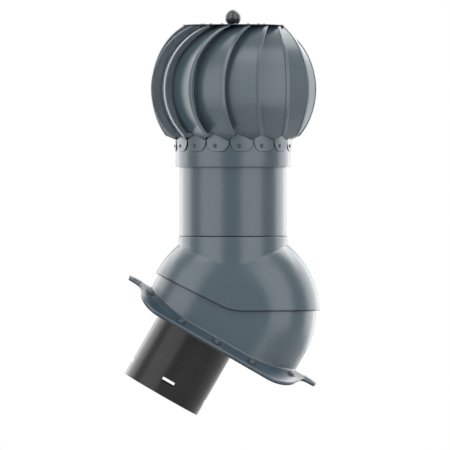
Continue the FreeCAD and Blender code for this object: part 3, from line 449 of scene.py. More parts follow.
def vane_sheet(t):
    """Sheet bent to the ellipse y = -u cos b, z = middle + w sin b, with level straight lines. A chain
    of (distance from the lip, offset out of the sheet) runs down its outer side, with a hem folded over
    at both edges, and another runs down its inner side. Both are carried up the ellipse, and above the
    knee the sheet narrows evenly between its hems, which keep their width."""
    lip, semi_u, semi_z = vane_ellipse(t)
    middle = turbine_middle(t)
    edge, fold_end = 0.3 * t.sheet, 1.6 * t.sheet
    fold = np.radians(np.linspace(0.0, 90.0, 7))
    fold_in, fold_out = t.sheet - t.sheet * np.cos(fold), t.sheet * np.sin(fold)
    step_in, step_out = np.array([1.0, 0.2, 0.0, -1.0]) * edge, np.array([1.0, 0.7, 0.12, 0.0]) * t.sheet
    back_flat = np.linspace(t.width - fold_end, t.width - t.inner_hem + 2 * edge, 4)
    flat = np.linspace(t.width - t.inner_hem - 2 * t.sheet, t.hem + 2 * t.sheet, 18)
    hem_flat = np.linspace(t.hem - 2 * edge, fold_end, 6)
    distance = np.concatenate([t.width - fold_in, back_flat, t.width - t.inner_hem + step_in, flat,
                               t.hem - step_in[::-1], hem_flat, fold_in[::-1]])
    outer = np.concatenate([fold_out, 0 * back_flat + t.sheet, step_out, 0 * flat, step_out[::-1],
                            0 * hem_flat + t.sheet, fold_out[::-1]])
    inner = np.concatenate([-fold_out, np.full(len(outer) - 2 * len(fold), -t.sheet), -fold_out[::-1]])
    bend = math.tan(t.lip_bend) * np.maximum(t.hem - distance, 0.0)
    offset = np.concatenate([outer - bend, (inner - bend)[::-1]])
    distance = np.concatenate([distance, distance[::-1]])
    x = lip - distance
    skirt_y = np.sqrt(t.skirt_radius ** 2 - np.minimum(x, 0.9 * t.skirt_radius) ** 2)
    skirt_z = middle - semi_z * np.sqrt(1 - (skirt_y / semi_u) ** 2)
    meet_y = math.sqrt(t.skirt_radius ** 2 - (lip - t.width) ** 2)
    tip = middle - semi_z * math.sqrt(1 - (meet_y / semi_u) ** 2) - t.tip_depth
    foot = tip - t.tip_drop * np.minimum(distance / t.tip_run, 1.0)
    bottom = np.maximum(foot, skirt_z)
    low_turn = np.arcsin((bottom - middle) / semi_z)
    top_turn = math.asin((t.disc_bottom - middle) / semi_z)
    part = np.linspace(0.0, 1.0, 84)[:, None]
    turn = low_turn + part * (top_turn - low_turn)
    knee = t.knee_rise
    up = np.maximum(np.sin(turn) * semi_z - knee, 0.0) / (t.disc_bottom - middle - knee)
    hem_keep, inner_keep = 1.2 * t.hem, 1.5 * t.inner_hem
    share = np.clip((distance - hem_keep) / (t.width - inner_keep - hem_keep), 0.0, 1.0)
    inward = distance - (t.width - t.top_width) * up * share
    out_y, out_z = -np.cos(turn) / semi_u, np.sin(turn) / semi_z
    length = np.hypot(out_y, out_z)
    z = middle + semi_z * np.sin(turn) + offset * out_z / length
    grid = np.stack([lip - inward, -semi_u * np.cos(turn) + offset * out_y / length,
                     np.minimum(z, t.disc_bottom)], -1)
    half = len(distance) // 2
    caps = [np.stack([grid[row, :half], grid[row, :half - 1:-1]]) for row in (0, -1)]
    return [(grid, False, True), (caps[0], False, False), (caps[1], False, False)]


def vane_tab(t):
    """Shield bent to the skirt ring. Its width runs round the ring, its lower edge is level and then the
    round corner 1 - (1 - x^p)^(1/p), and its upper edge is the free corner and the line where the vane's
    sheet lands. It is a little flatter than the ring: it stands off by the square of its distance from the
    rivet, and that fades out over the shoulder."""
    _, semi_u, semi_z = vane_ellipse(t)
    power, edge_radius, step, fade = 2.11, 0.28 * MM, 0.05 * MM, 8 * MM
    tiny = 1e-6
    inner_r, outer_r = t.skirt_radius, t.skirt_radius + t.sheet
    half = outer_r * math.sin(t.tab_half_angle)
    flat = t.tab_flat / 2
    free = -half + t.tab_peak_run
    corner_in = (half - flat) * (1 - np.cos(np.linspace(0.0, math.pi / 2, 13)))
    across = np.concatenate([corner_in - half, [free, free + step], np.linspace(-flat, flat, 7),
                             half - corner_in])
    across = np.unique(np.round(across, 7))[:, None]
    beyond = np.clip((np.abs(across) - flat) / (half - flat), 0.0, 1.0)
    low = t.tab_shoulder - t.tab_depth * (1 - beyond ** power) ** (1 / power)
    away = np.arcsin(across / outer_r)
    turn = t.tab_angle - t.set_angle + away
    landing = turbine_middle(t) - semi_z * np.sqrt(1 - (outer_r * np.sin(turn) / semi_u) ** 2)
    rise = np.sqrt(np.clip(1 - ((free - across) / t.tab_peak_run) ** 2, 0.0, 1.0))
    corner = t.tab_shoulder + t.tab_peak * rise
    high = np.where(across <= free + tiny, corner, np.maximum(landing, t.tab_shoulder))
    high = np.maximum(high, low)
    edge = np.minimum(edge_radius, (high - low) / 2)
    bow = np.radians(np.linspace(0.0, 90.0, 4))
    round_r = outer_r - edge_radius * (1 - np.sin(bow))
    part = np.linspace(0.0, 1.0, 11)[1:-1]
    heights = np.concatenate([low + edge * (1 - np.cos(bow)), low + edge + part * (high - low - 2 * edge),
                              high - edge * (1 - np.cos(bow[::-1])), np.broadcast_to(high, low.shape),
                              high + (low - high) * part, low], 1)
    flat_r = np.concatenate([round_r, 0 * part + outer_r, round_r[::-1], [inner_r], 0 * part + inner_r,
                             [inner_r]])
    from_rivet = away + t.tab_angle - t.tab_rivet_angle
    lift = t.tab_lift * (from_rivet / (t.tab_half_angle + t.tab_angle - t.tab_rivet_angle)) ** 2
    lift = lift * np.clip((t.tab_shoulder + fade / 2 - heights) / fade, 0.0, 1.0)
    radius = flat_r + lift
    return [(np.stack([radius * np.cos(turn), radius * np.sin(turn), heights], -1), False, True)]


def vane_ear(t):
    """Level ear under the disc: a strip from the sheet's top to a round end about the rivet."""
    _, semi_u, semi_z = vane_ellipse(t)
    turn = t.ear_angle - t.set_angle
    x, y = t.ear_arm * math.cos(turn), t.ear_arm * math.sin(turn)
    rise = (t.disc_bottom - turbine_middle(t)) / semi_z
    root = -semi_u * math.sqrt(1 - rise ** 2) + t.sheet / 2
    bow = np.linspace(0.0, math.pi / 2, 10)
    along = np.concatenate([np.linspace(root, y, 6)[:-1], y + t.ear_half * np.sin(bow)])[:, None]
    half = np.concatenate([np.full(5, t.ear_half), t.ear_half * np.cos(bow)])[:, None]
    low, high = t.disc_bottom - t.sheet, t.disc_bottom
    sides = np.array([-1.0, 1.0, 1.0, -1.0])
    grid = np.stack([x + half * sides, np.broadcast_to(along, (len(along), 4)),
                     np.broadcast_to([low, low, high, high], (len(along), 4))], -1)
    cap = grid[0][[0, 1, 3, 2]].reshape(2, 2, 3)
    return [(grid, False, True), (cap, False, False)]


def set_mark(mesh, name, values):
    """Vertex attribute with the values kept between 0 and 1."""
    layer = mesh.attributes.new(name, "FLOAT", "POINT")
    layer.data.foreach_set("value", np.clip(values, 0.0, 1.0))


def places(mesh):
    """Vertices of a mesh, counted from the hood's centre."""
    flat = np.empty(3 * len(mesh.vertices))
    mesh.vertices.foreach_get("co", flat)
    return flat.reshape(-1, 3) - PIVOT


def mark_back(mesh, turn, t):
    """Marks the back of a vane's sheet, which has only a pale primer. With the vertices turned back to
    the first vane, f = root((y / u)^2 + (z / w)^2) is 1 on the bent sheet, and (f - 1) over its slope,
    plus the lip's bend, is the offset out of the sheet. The mark is 2.4 less four times the distance from
    the back face, in sheets. The crevice shade stays off the top few millimetres, under the disc."""
    lip, semi_u, semi_z = vane_ellipse(t)
    x, y, z = turned(places(mesh), -turn).T
    z = z - turbine_middle(t)
    f = np.hypot(y / semi_u, z / semi_z)
    slope = np.hypot(y / semi_u ** 2, z / semi_z ** 2) / f
    offset = (f - 1) / slope + math.tan(t.lip_bend) * np.maximum(t.hem - lip + x, 0.0)
    set_mark(mesh, "back", 2.4 - 4.0 * np.abs(offset / t.sheet + 1))
    fade = 3 * MM
    set_mark(mesh, "bright", (z + turbine_middle(t) - t.disc_bottom) / fade + 2.0)


def rivet_grid(t, grip):
    """Blind rivet about +Z: tail, shank and a low dome with the small pit of its pulled pin. Bevels and pit
    are shares of the head's radius and height."""
    head, high = t.rivet_head, t.rivet_height
    rise = np.radians(np.linspace(8.0, 72.0, 9))
    dome = np.stack([head * np.cos(rise), high * np.sin(rise) / math.sin(rise[-1])], -1)
    pit = 0.3 * head
    tail_low = -grip - 0.9 * high
    start = np.array([[0.0, tail_low], [0.8 * t.rivet_tail, tail_low], [t.rivet_tail, tail_low + 0.2 * high],
                      [t.rivet_tail, -grip], [t.rivet_shank, -grip], [t.rivet_shank, 0.0],
                      [0.985 * head, 0.0]])
    end = np.array([[0.95 * pit, 0.98 * high], [0.85 * pit, 0.72 * high], [0.0, 0.68 * high]])
    return lathe(np.concatenate([start, dome, end]), 28, closed=False)


def vane_turn(t, index):
    """Turning angle of a vane about the upright axis."""
    return t.first_angle + index * FULL / t.vane_count


class COWL_OT_vanes(Operator):
    """Build the vanes: hemmed sheets with their tabs and ears"""

    bl_idname = "cowl.vanes"
    bl_label = "Vanes"

    def execute(self, context):
        t = context.scene.cowl_turbine
        grids = vane_sheet(t) + vane_tab(t) + vane_ear(t)
        for index in range(t.vane_count):
            turn = vane_turn(t, index)
            shown = [placed(grid, lambda p: upright(turned(p, turn))) for grid in grids]
            number = "%02d" % (index + 1)
            piece = show("vane_sheet_" + number, shown, "graphite_vane", "turbine", "vane_" + number)
            mark_back(piece.data, turn, t)
        return {"FINISHED"}


class COWL_OT_top(Operator):
    """Build the top disc with its rivets and the ball knob"""

    bl_idname = "cowl.top"
    bl_label = "Top disc and knob"

    def execute(self, context):
        t = context.scene.cowl_turbine
        low_edge, high_edge = 0.35 * MM, 0.5 * MM
        outline = rounded([(0.0, t.disc_bottom, 0.0), (t.disc_radius, t.disc_bottom, low_edge),
                           (t.disc_radius, t.disc_top, high_edge), (0.0, t.disc_top, 0.0)])
        grid = placed(lathe(outline, COLUMNS, closed=False), upright)
        disc = show("top_disc_sheet", [grid], "graphite_sheet", "turbine", "top_disc")
        set_mark(disc.data, "bright", np.ones(len(disc.data.vertices)))
        rivets = []
        for index in range(t.vane_count):
            turn = vane_turn(t, index) + t.ear_angle - t.set_angle
            one = rivet_grid(t, t.disc_top - t.disc_bottom + t.sheet)
            rivets.append(placed(one, lambda p: upright(turned(moved(p, t.ear_arm, 0.0, t.disc_top), turn))))
        show("top_rivet_heads", rivets, "graphite_sheet", "turbine", "top_rivets")
        centre = t.disc_top + t.knob_rise
        start = math.asin(t.knob_neck / t.knob_radius)
        polar = np.linspace(math.pi - start, 0.0, 40)
        ball = np.stack([t.knob_radius * np.sin(polar), centre + t.knob_radius * np.cos(polar)], -1)
        neck = np.array([[0.0, t.disc_bottom], [t.knob_neck, t.disc_bottom], [t.knob_neck, t.disc_top]])
        knob = placed(lathe(np.concatenate([neck, ball]), 72, closed=False), upright)
        show("knob_ball", [knob], "graphite_knob", "turbine", "ball_knob")
        return {"FINISHED"}


class COWL_OT_skirt(Operator):
    """Build the skirt ring with its rolled bead and the tab rivets"""

    bl_idname = "cowl.skirt"
    bl_label = "Skirt ring"

    def execute(self, context):
        t = context.scene.cowl_turbine
        inner, outer = t.skirt_radius - t.skirt_wall, t.skirt_radius
        bead_turn = np.radians(np.linspace(55.0, -235.0, 22))
        bead_end = t.skirt_bottom + 3 * t.skirt_bead
        bead_r = (inner + outer) / 2 + t.skirt_bead * np.cos(bead_turn)
        bead_z = t.skirt_bottom + t.skirt_bead * (1 + np.sin(bead_turn))
        bead = np.stack([bead_r, bead_z], -1)
        edge = 0.4 * MM
        top = rounded([(inner, bead_end, 0.0), (inner, t.skirt_top, edge), (outer, t.skirt_top, edge),
                       (outer, bead_end, 0.0)])
        ring = placed(lathe(np.concatenate([top, bead]), COLUMNS), upright)
        show("skirt_ring_band", [ring], "graphite_sheet", "turbine", "skirt_ring")
        rivets = []
        height = t.tab_shoulder - t.tab_depth + t.rivet_rise
        one = placed(rivet_grid(t, t.skirt_wall + t.sheet),
                     lambda p: moved(p[..., [2, 1, 0]], outer + t.sheet, 0.0, height))
        for index in range(t.vane_count):
            turn = vane_turn(t, index) + t.tab_rivet_angle - t.set_angle
            rivets.append(placed(one, lambda p: upright(turned(p, turn))))
        show("skirt_rivet_heads", rivets, "graphite_knob", "turbine", "skirt_rivets")
        return {"FINISHED"}


# Head

def rim_height(x, h):
    """Height of the hood's rim over x: level on the right, a straight rise on the left, and between
    them the arc of the blend radius that touches both."""
    reach = h.rim_blend * math.tan(h.rim_angle / 2)
    right, left = h.rim_bend + reach, h.rim_bend - reach * math.cos(h.rim_angle)
    arc = h.rim_height + h.rim_blend - np.sqrt(np.maximum(h.rim_blend ** 2 - (x - right) ** 2, 0.0))
    slope = h.rim_height + (h.rim_bend - x) * math.tan(h.rim_angle)
    return np.where(x > right, h.rim_height, np.where(x < left, slope, arc))


def rim_on(turn, shoulder, h):
    """Height where a wheel of that shoulder meets the rim, at turning angles: the rim's height at the
    wheel's own radius, put in again until it stays."""
    height = np.full(turn.shape, h.rim_height)
    for _ in range(24):
        height = rim_height(wheel_radius(turn, height, shoulder, h.cheek_flat) * np.cos(turn), h)
    return height


def meeting(turn, radius, shoulder, flat):
    """Height where an upright cylinder leaves the wheel: with d = sqrt(shoulder^2 - y^2), it is
    sqrt((flat + d)^2 - x^2)."""
    x, y = radius * np.cos(turn), radius * np.sin(turn)
    return np.sqrt((flat + np.sqrt(shoulder ** 2 - y ** 2)) ** 2 - x ** 2)


def hood_shell(h):
    """Wheel form and collar joined by a soft maximum of their radii, (a + b + root((a-b)^2 + k^2)) / 2,
    less a bell of half that crease where they meet, and the same form inside, as one closed chain carried
    round the upright axis."""
    turn = np.linspace(0.0, FULL, 360, endpoint=False)[:, None]
    inside = h.shoulder - h.wall
    edge = 0.45 * MM
    rim_out, rim_in = rim_on(turn, h.shoulder, h), rim_on(turn, inside, h)
    leave_out = meeting(turn, h.collar_radius, h.shoulder, h.cheek_flat)
    leave_in = meeting(turn, h.opening, inside, h.cheek_flat)
    part = np.linspace(0.0, 1.0, 44)
    soft = 3.0 * h.crease
    low = rim_out + edge + part * (leave_out - soft - rim_out - edge)
    bend = leave_out + soft * np.linspace(-1.0, 1.0, 11)[1:]
    climb = leave_out + soft
    climb = climb + np.linspace(0.0, 1.0, 5)[1:] * (h.collar_top - h.collar_edge - leave_out - soft)
    heights = np.concatenate([low, bend, climb], 1)
    wheel = wheel_radius(turn, heights, h.shoulder, h.cheek_flat)
    gap = wheel - h.collar_radius
    radius = (wheel + h.collar_radius + np.sqrt(gap ** 2 + h.crease ** 2)) / 2
    radius = radius - (h.crease / 2) * np.exp(-(gap / h.crease) ** 2 / 9)
    over = np.radians(np.linspace(0.0, 90.0, 6))[1:]
    top_r = h.collar_radius - h.collar_edge * (1 - np.cos(over))
    top_z = h.collar_top - h.collar_edge * (1 - np.sin(over))
    lip = 0.2 * MM
    seat_r = np.array([h.collar_bore + lip, h.collar_bore, h.collar_bore, h.opening])
    seat_z = np.array([h.collar_top, h.collar_top - lip, h.tube_seat, h.tube_seat])
    down = h.tube_seat + np.linspace(0.0, 1.0, 5)[1:] * (leave_in - h.tube_seat)
    back = leave_in + part[1:] * (rim_in + edge - leave_in)
    back_r = wheel_radius(turn, back, inside, h.cheek_flat)
    rim_r = wheel_radius(turn, rim_out, h.shoulder, h.cheek_flat)
    rim_back = wheel_radius(turn, rim_in, inside, h.cheek_flat)
    corner = np.concatenate([rim_back + 0.1 * edge, rim_back + edge, rim_r - edge, rim_r - 0.3 * edge,
                             rim_r - 0.05 * edge], 1)
    corner_z = np.concatenate([rim_in + 0.4 * edge, rim_in, rim_out, rim_out + 0.15 * edge,
                               rim_out + 0.5 * edge], 1)
    chain = [(radius, heights), (top_r, top_z), (seat_r, seat_z), (0 * down + h.opening, down),
             (back_r, back), (corner, corner_z)]
    return round_grid(turn, chain)


def hood_ribs(h, b):
    """Guide ribs inside the hood: a small box section between the base's and the hood's wheel forms,
    carried along arcs about the tilting axis, on both sides of the opening."""
    near, distant = b.shoulder + h.guide_gap, h.shoulder - h.wall / 2
    rib_arcs = ((-49.0, -35.0), (35.0, 88.0))
    count = 24
    ribs = []
    for side in (-1.0, 1.0):
        y = side * h.rib_side + np.array([-1.0, 1.0, 1.0, -1.0]) * h.rib_half
        depth = np.sqrt(np.array([near, near, distant, distant]) ** 2 - y ** 2) + h.cheek_flat
        for start, end in rib_arcs:
            along = np.linspace(math.radians(start), math.radians(end), count)[:, None]
            grid = np.stack([depth * np.sin(along), np.broadcast_to(y, (count, 4)),
                             depth * np.cos(along)], -1)
            ribs.append((grid, False, True))
            ribs += [(grid[row][[0, 1, 3, 2]].reshape(2, 2, 3), False, False) for row in (0, -1)]
    return ribs


def hood_bosses(h, b):
    """Round bosses for the clamp screws between the base's cheek and the hood's."""
    near, distant = b.shoulder + h.guide_gap, h.shoulder - h.wall / 2
    profile = np.array([[0.0, near], [h.boss_radius, near], [h.boss_radius, distant], [0.0, distant]])
    x, z = h.clamp_arm * math.sin(h.clamp_angle), h.clamp_arm * math.cos(h.clamp_angle)
    bosses = []
    for side in (-1.0, 1.0):
        one = lathe(profile, 32, closed=False)
        bosses.append(placed(one, lambda p: moved(p[..., [0, 2, 1]] * np.array([1.0, side, 1.0]), x, 0.0, z)))
    return bosses


class COWL_OT_hood(Operator):
    """Build the rounded hood with its collar, ribs and bosses, and a painted shade line along its rim"""

    bl_idname = "cowl.hood"
    bl_label = "Hood"

    def execute(self, context):
        h, b = context.scene.cowl_head, context.scene.cowl_base
        grids = [hood_shell(h)] + hood_ribs(h, b) + hood_bosses(h, b)
        hood = show("hood_shell", [placed(grid, upright) for grid in grids], "graphite_moulding", "head",
                    "hood")
        x, y, z = places(hood.data).T
        rise = z - rim_on(np.arctan2(y, x), h.shoulder, h)
        painted_shade_fade = 0.5 * MM
        # Painted shade along the rim, standing in for its shadow on the base: full up to half a millimetre above
        # the rim's edge, gone by one millimetre.
        set_mark(hood.data, "soil", 2.0 - rise / painted_shade_fade)
        return {"FINISHED"}


class COWL_OT_tube(Operator):
    """Build the jacket tube, with a painted shade line along the collar"""

    bl_idname = "cowl.tube"
    bl_label = "Jacket tube"

    def execute(self, context):
        h = context.scene.cowl_head
        inner, outer, edge = h.tube_radius - h.tube_wall, h.tube_radius, 0.4 * MM
        seam = h.collar_top + np.array([-1.0, 0.0, 0.9, 1.5]) * MM
        wall = rounded([(inner, h.tube_seat, edge), (outer, h.tube_seat, edge)]
                       + [(outer, z, 0.0) for z in seam]
                       + [(outer, h.tube_top, edge), (inner, h.tube_top, edge)])
        tube = show("jacket_tube_wall", [placed(lathe(wall, COLUMNS), upright)], "graphite_sheet", "head",
                    "jacket_tube")
        # Painted shade just above the collar, standing in for the shadow in the joint: full up to 0.9 mm over the
        # collar's top and gone by 1.5 mm. The part inside the collar is marked too.
        set_mark(tube.data, "soil", (seam[3] - places(tube.data)[:, 2]) / (seam[3] - seam[2]))
        return {"FINISHED"}


# Base

def arc(centre_s, centre_y, radius, start, end, count):
    """Arc in the plan, its angles counted from the +Y side towards the low end."""
    a = np.radians(np.linspace(start, end, count))
    return np.stack([centre_s + radius * np.sin(a), centre_y + radius * np.cos(a)], -1)


def neck_start(b):
    """Place along the slope where the neck's arc runs into the tongue's side."""
    end = arc(b.straight, b.half_width - b.corner, b.corner, 0.0, math.degrees(b.corner_turn), 2)[1]
    neck_y = b.tongue_half + b.neck * (1 - math.cos(b.corner_turn))
    return end[0] + (end[1] - neck_y) / math.tan(b.corner_turn) + b.neck * math.sin(b.corner_turn)


def flange_outline(b):
    """Flange's plan: side, corner arc, straight flank, neck arc and the tongue's corner, mirrored to all
    four quarters and given as turning angle and radius about the centre."""
    turn = math.degrees(b.corner_turn)
    neck = neck_start(b)
    tongue_end = neck + b.tongue_straight + b.tongue_corner
    quarter = np.concatenate([
        np.stack([np.linspace(0.0, b.straight, 20)[:-1], np.full(19, b.half_width)], -1),
        arc(b.straight, b.half_width - b.corner, b.corner, 0.0, turn, 36),
        arc(neck, b.tongue_half + b.neck, b.neck, 180.0 + turn, 180.0, 24),
        arc(tongue_end - b.tongue_corner, b.tongue_half - b.tongue_corner, b.tongue_corner, 0.0, 90.0, 16),
        [[tongue_end, 0.0]],
    ])
    away, radius = np.arctan2(quarter[:, 1], quarter[:, 0]), np.hypot(quarter[:, 0], quarter[:, 1])
    away, radius = away[::-1], radius[::-1]
    turns = np.concatenate([away, math.pi - away[::-1], math.pi + away, FULL - away[::-1]])
    radii = np.concatenate([radius, radius[::-1], radius, radius[::-1]])
    return turns, radii, tongue_end


def barrel(y, radius, b):
    """Height of a level cylinder along the slope over a place across it: centre + root(r^2 - y^2)."""
    return -b.crest - b.bend + np.sqrt(radius ** 2 - y ** 2)


def base_turns(b):
    """Turning angles of the base's columns: even ones, and the flange outline's own."""
    turns, _, _ = flange_outline(b)
    every = np.sort(np.concatenate([np.linspace(0.0, FULL, 360, endpoint=False), turns % FULL]))
    gaps = np.concatenate([[True], np.diff(every) > 0.12 * math.pi / 180])
    every = every[gaps]
    return every[every < FULL - 0.001][:, None]


def base_shell(b, h):
    """Mouth, dome, upright wall, foot fillet, flange, its underside and the inside back to the mouth, as
    one closed chain of radius and height carried round the roof's normal. The dome's rows fall as
    cos(a)^0.9, so they lie closer together near the mouth."""
    turn = base_turns(b)
    turns, radii, _ = flange_outline(b)
    reach = np.interp(turn, turns, radii, period=FULL)
    flat, edge = h.cheek_flat, 0.4 * MM
    inside = b.shoulder - b.wall
    fall = np.linspace(0.0, 1.0, 34)
    dome_z = (b.mouth - edge) * np.cos(fall * math.pi / 2) ** 0.9
    dome_r = wheel_radius(turn, dome_z, b.shoulder, flat)
    wall_r = wheel_radius(turn, 0.0, b.shoulder, flat)
    foot = barrel(wall_r * np.sin(turn), b.bend, b)
    wall_z = np.linspace(0.0, 1.0, 8)[1:] * (foot + b.foot_fillet)
    bow = np.radians(np.linspace(0.0, 90.0, 7))[1:]
    fillet_r = wall_r + b.foot_fillet * (1 - np.cos(bow))
    fillet_z = barrel(fillet_r * np.sin(turn), b.bend, b) + b.foot_fillet * (1 - np.sin(bow))
    plate_r = wall_r + b.foot_fillet
    plate_r = plate_r + np.linspace(0.0, 1.0, 12)[1:] * (reach - b.edge - wall_r - b.foot_fillet)
    plate_z = barrel(plate_r * np.sin(turn), b.bend, b)
    side_r = reach - b.edge * (1 - np.sin(bow))
    side_z = barrel(side_r * np.sin(turn), b.bend, b) - b.edge * (1 - np.cos(bow))
    under = b.bend - b.thick
    low_edge = 0.6 * MM
    low_r = reach - low_edge * (1 - np.cos(bow))
    low_z = barrel(low_r * np.sin(turn), under, b) + low_edge * (1 - np.sin(bow))
    room_r = wheel_radius(turn, 0.0, inside, flat)
    under_r = low_r[:, -1:] + np.linspace(0.0, 1.0, 8)[1:] * (room_r - low_r[:, -1:])
    under_z = barrel(under_r * np.sin(turn), under, b)
    up_z = under_z[:, -1:] * (1 - np.linspace(0.0, 1.0, 5)[1:])
    in_z = (b.mouth - edge) * np.sin(fall[1:] * math.pi / 2)
    in_r = wheel_radius(turn, in_z, inside, flat)
    mouth_r = np.concatenate([wheel_radius(turn, b.mouth, inside, flat) + edge,
                              wheel_radius(turn, b.mouth, b.shoulder, flat) - edge], 1)
    chain = [(dome_r, dome_z), (np.broadcast_to(wall_r, wall_z.shape), wall_z), (fillet_r, fillet_z),
             (plate_r, plate_z), (side_r, side_z), (low_r, low_z), (under_r, under_z),
             (np.broadcast_to(room_r, up_z.shape), up_z), (in_r, in_z),
             (mouth_r, np.array([b.mouth, b.mouth]))]
    return round_grid(turn, chain)


def mark_bright(mesh, b, h):
    """Marks where the crevice shade stays off. On the fillet at the wall's foot, with the vertices taken
    back to the roof's frame, the mark is 3 minus twice the distance from the fillet's middle over the
    fillet's radius, and on the pads of the tongues it is 1."""
    x, y, z = places(mesh).T
    s, n = x * math.cos(PITCH) - z * math.sin(PITCH), x * math.sin(PITCH) + z * math.cos(PITCH)
    turn = np.arctan2(y, s)
    out = np.hypot(s, y) - wheel_radius(turn, 0.0, b.shoulder, h.cheek_flat)
    up = n - barrel(np.clip(y, -b.half_width, b.half_width), b.bend, b)
    middle, margin = 0.3 * b.foot_fillet, 2 * MM
    away = np.hypot(out - middle, up - middle) / b.foot_fillet
    pad_start = flange_outline(b)[2] - b.pad_inset - b.pad_length - margin
    set_mark(mesh, "bright", np.where(np.abs(s) > pad_start, 1.0, 3.0 - 2.0 * away))


def base_floor(b, h):
    """Floor plate of the base: from the inlet's round hole out to the wall's plan, four corners deep."""
    turn = np.linspace(0.0, FULL, 180, endpoint=False)[:, None]
    hole = b.pipe_radius - b.pipe_wall
    limit = b.shoulder - b.wall / 2
    low, high = np.zeros(turn.shape), np.full(turn.shape, 3 * limit)
    for _ in range(HALVINGS):
        middle = (low + high) / 2
        s, y = b.pipe_shift + middle * np.cos(turn), middle * np.sin(turn)
        outside = np.hypot(np.maximum(np.abs(s) - h.cheek_flat, 0.0), y) > limit
        low, high = np.where(outside, low, middle), np.where(outside, middle, high)
    radius = np.concatenate([np.full(turn.shape, hole), high, high, np.full(turn.shape, hole)], 1)
    height = np.broadcast_to(-b.crest - np.array([0.0, 0.0, b.floor_thick, b.floor_thick]), radius.shape)
    grid = np.stack([b.pipe_shift + radius * np.cos(turn), radius * np.sin(turn), height], -1)
    return grid, True, True


def base_pads(b):
    """Raised pads on the tongues: a closed box section over the slope, carried across the barrel."""
    _, _, tongue_end = flange_outline(b)
    half = b.tongue_half - b.pad_inset
    y = np.linspace(-half, half, 25)[:, None]
    start, end = tongue_end - b.pad_inset - b.pad_length, tongue_end - b.pad_inset
    low = 0.1 * b.pad_height
    ramp, ramp_radius, step, step_radius = 7 * MM, 9 * MM, 2.5 * MM, 3 * MM
    pads = []
    for side in (-1.0, 1.0):
        outline = rounded([(start, -b.thick / 2, 0.0), (end, -b.thick / 2, 0.0),
                           (end, low, 0.0), (end - ramp, b.pad_height, ramp_radius),
                           (start + step, b.pad_height, step_radius), (start, low, 0.0)])
        grid = np.stack([np.broadcast_to(side * outline[:, 0], (25, len(outline))),
                         np.broadcast_to(y, (25, len(outline))),
                         barrel(y, b.bend, b) + outline[:, 1]], -1)
        middle = np.broadcast_to(grid.mean(1, keepdims=True)[[0, -1]], grid[[0, -1]].shape)
        caps = [np.stack([grid[row], middle[row]]) for row in (0, -1)]
        pads += [(grid, False, True), (caps[0], False, True), (caps[1], False, True)]
    return pads


def flange_place(points, s, y, b):
    """Points about an upright axis set on the flange: leaned to the barrel's normal at y and moved."""
    lean = math.asin(y / b.bend)
    out = points[..., 2] + b.bend
    return np.stack([points[..., 0] + s,
                     points[..., 1] * math.cos(lean) + out * math.sin(lean),
                     out * math.cos(lean) - points[..., 1] * math.sin(lean) - b.crest - b.bend], -1)


def screw_places(b):
    """Plan places of the flange screws: two rows of three and four corners."""
    end = arc(b.straight, b.half_width - b.corner, b.corner, 0.0, math.degrees(b.corner_turn), 2)[1]
    rows = [(step * b.row_pitch, side * (b.half_width - b.row_inset))
            for side in (-1, 1) for step in (-1, 0, 1)]
    corners = [(along * (end[0] - b.corner_back), across * (end[1] - b.corner_inset))
               for along in (-1, 1) for across in (-1, 1)]
    return rows + corners


def arc_slot(b, h):
    """Cutter for the arc slots in both cheeks: a band about the tilting axis with round ends, centred on
    where the clamp screws are at the middle of the tilt."""
    half, middle_tilt = 3.4 * MM, math.radians(11.0)
    middle = h.clamp_angle - PITCH + middle_tilt
    t = np.linspace(-1.0, 1.0, 33)[:, None]
    reach = b.slot_reach + half / h.clamp_arm
    along = middle + t * reach
    inset = np.clip((np.abs(t) * reach - b.slot_reach) * h.clamp_arm / half, 0.0, 0.999)
    width = half * np.sqrt(1 - inset ** 2)
    arms = h.clamp_arm + width * np.array([-1.0, 1.0, 1.0, -1.0])
    outside, inside = b.shoulder + MM, b.shoulder - 2 * b.wall
    cutters = []
    for side in (-1.0, 1.0):
        y = side * np.array([outside, outside, inside, inside])
        grid = np.stack([arms * np.sin(along), np.broadcast_to(y, arms.shape), arms * np.cos(along)], -1)
        caps = [(grid[row][[0, 1, 3, 2]].reshape(2, 2, 3), False, False) for row in (0, -1)]
        cutters += [(grid, False, True)] + caps
    return cutters


class COWL_OT_base(Operator):
    """Build the roof base: flange, wall, dome and floor, with its screw recesses and arc slots"""

    bl_idname = "cowl.base"
    bl_label = "Roof base"

    def execute(self, context):
        b, h = context.scene.cowl_base, context.scene.cowl_head
        shell = new_object("base_shell", new_mesh("base_shell", [placed(base_shell(b, h), on_roof)]))
        cutters = arc_slot(b, h)
        recess = np.array([[0.0, -b.recess_depth], [b.recess, -b.recess_depth], [b.recess, b.thick],
                           [0.0, b.thick]])
        for s, y in screw_places(b):
            cutters.append(placed(lathe(recess, 48, closed=False), lambda p: flange_place(p, s, y, b)))
        carve(shell, [placed(grid, on_roof) for grid in cutters])
        inner = [placed(grid, on_roof) for grid in [base_floor(b, h)] + base_pads(b)]
        extra = new_object("extra", new_mesh("extra", inner))
        with context.temp_override(active_object=shell, selected_editable_objects=[shell, extra]):
            bpy.ops.object.join()
        soften(shell.data)
        mark_bright(shell.data, b, h)
        dress(shell, "graphite_moulding", "base", "roof_base")
        return {"FINISHED"}


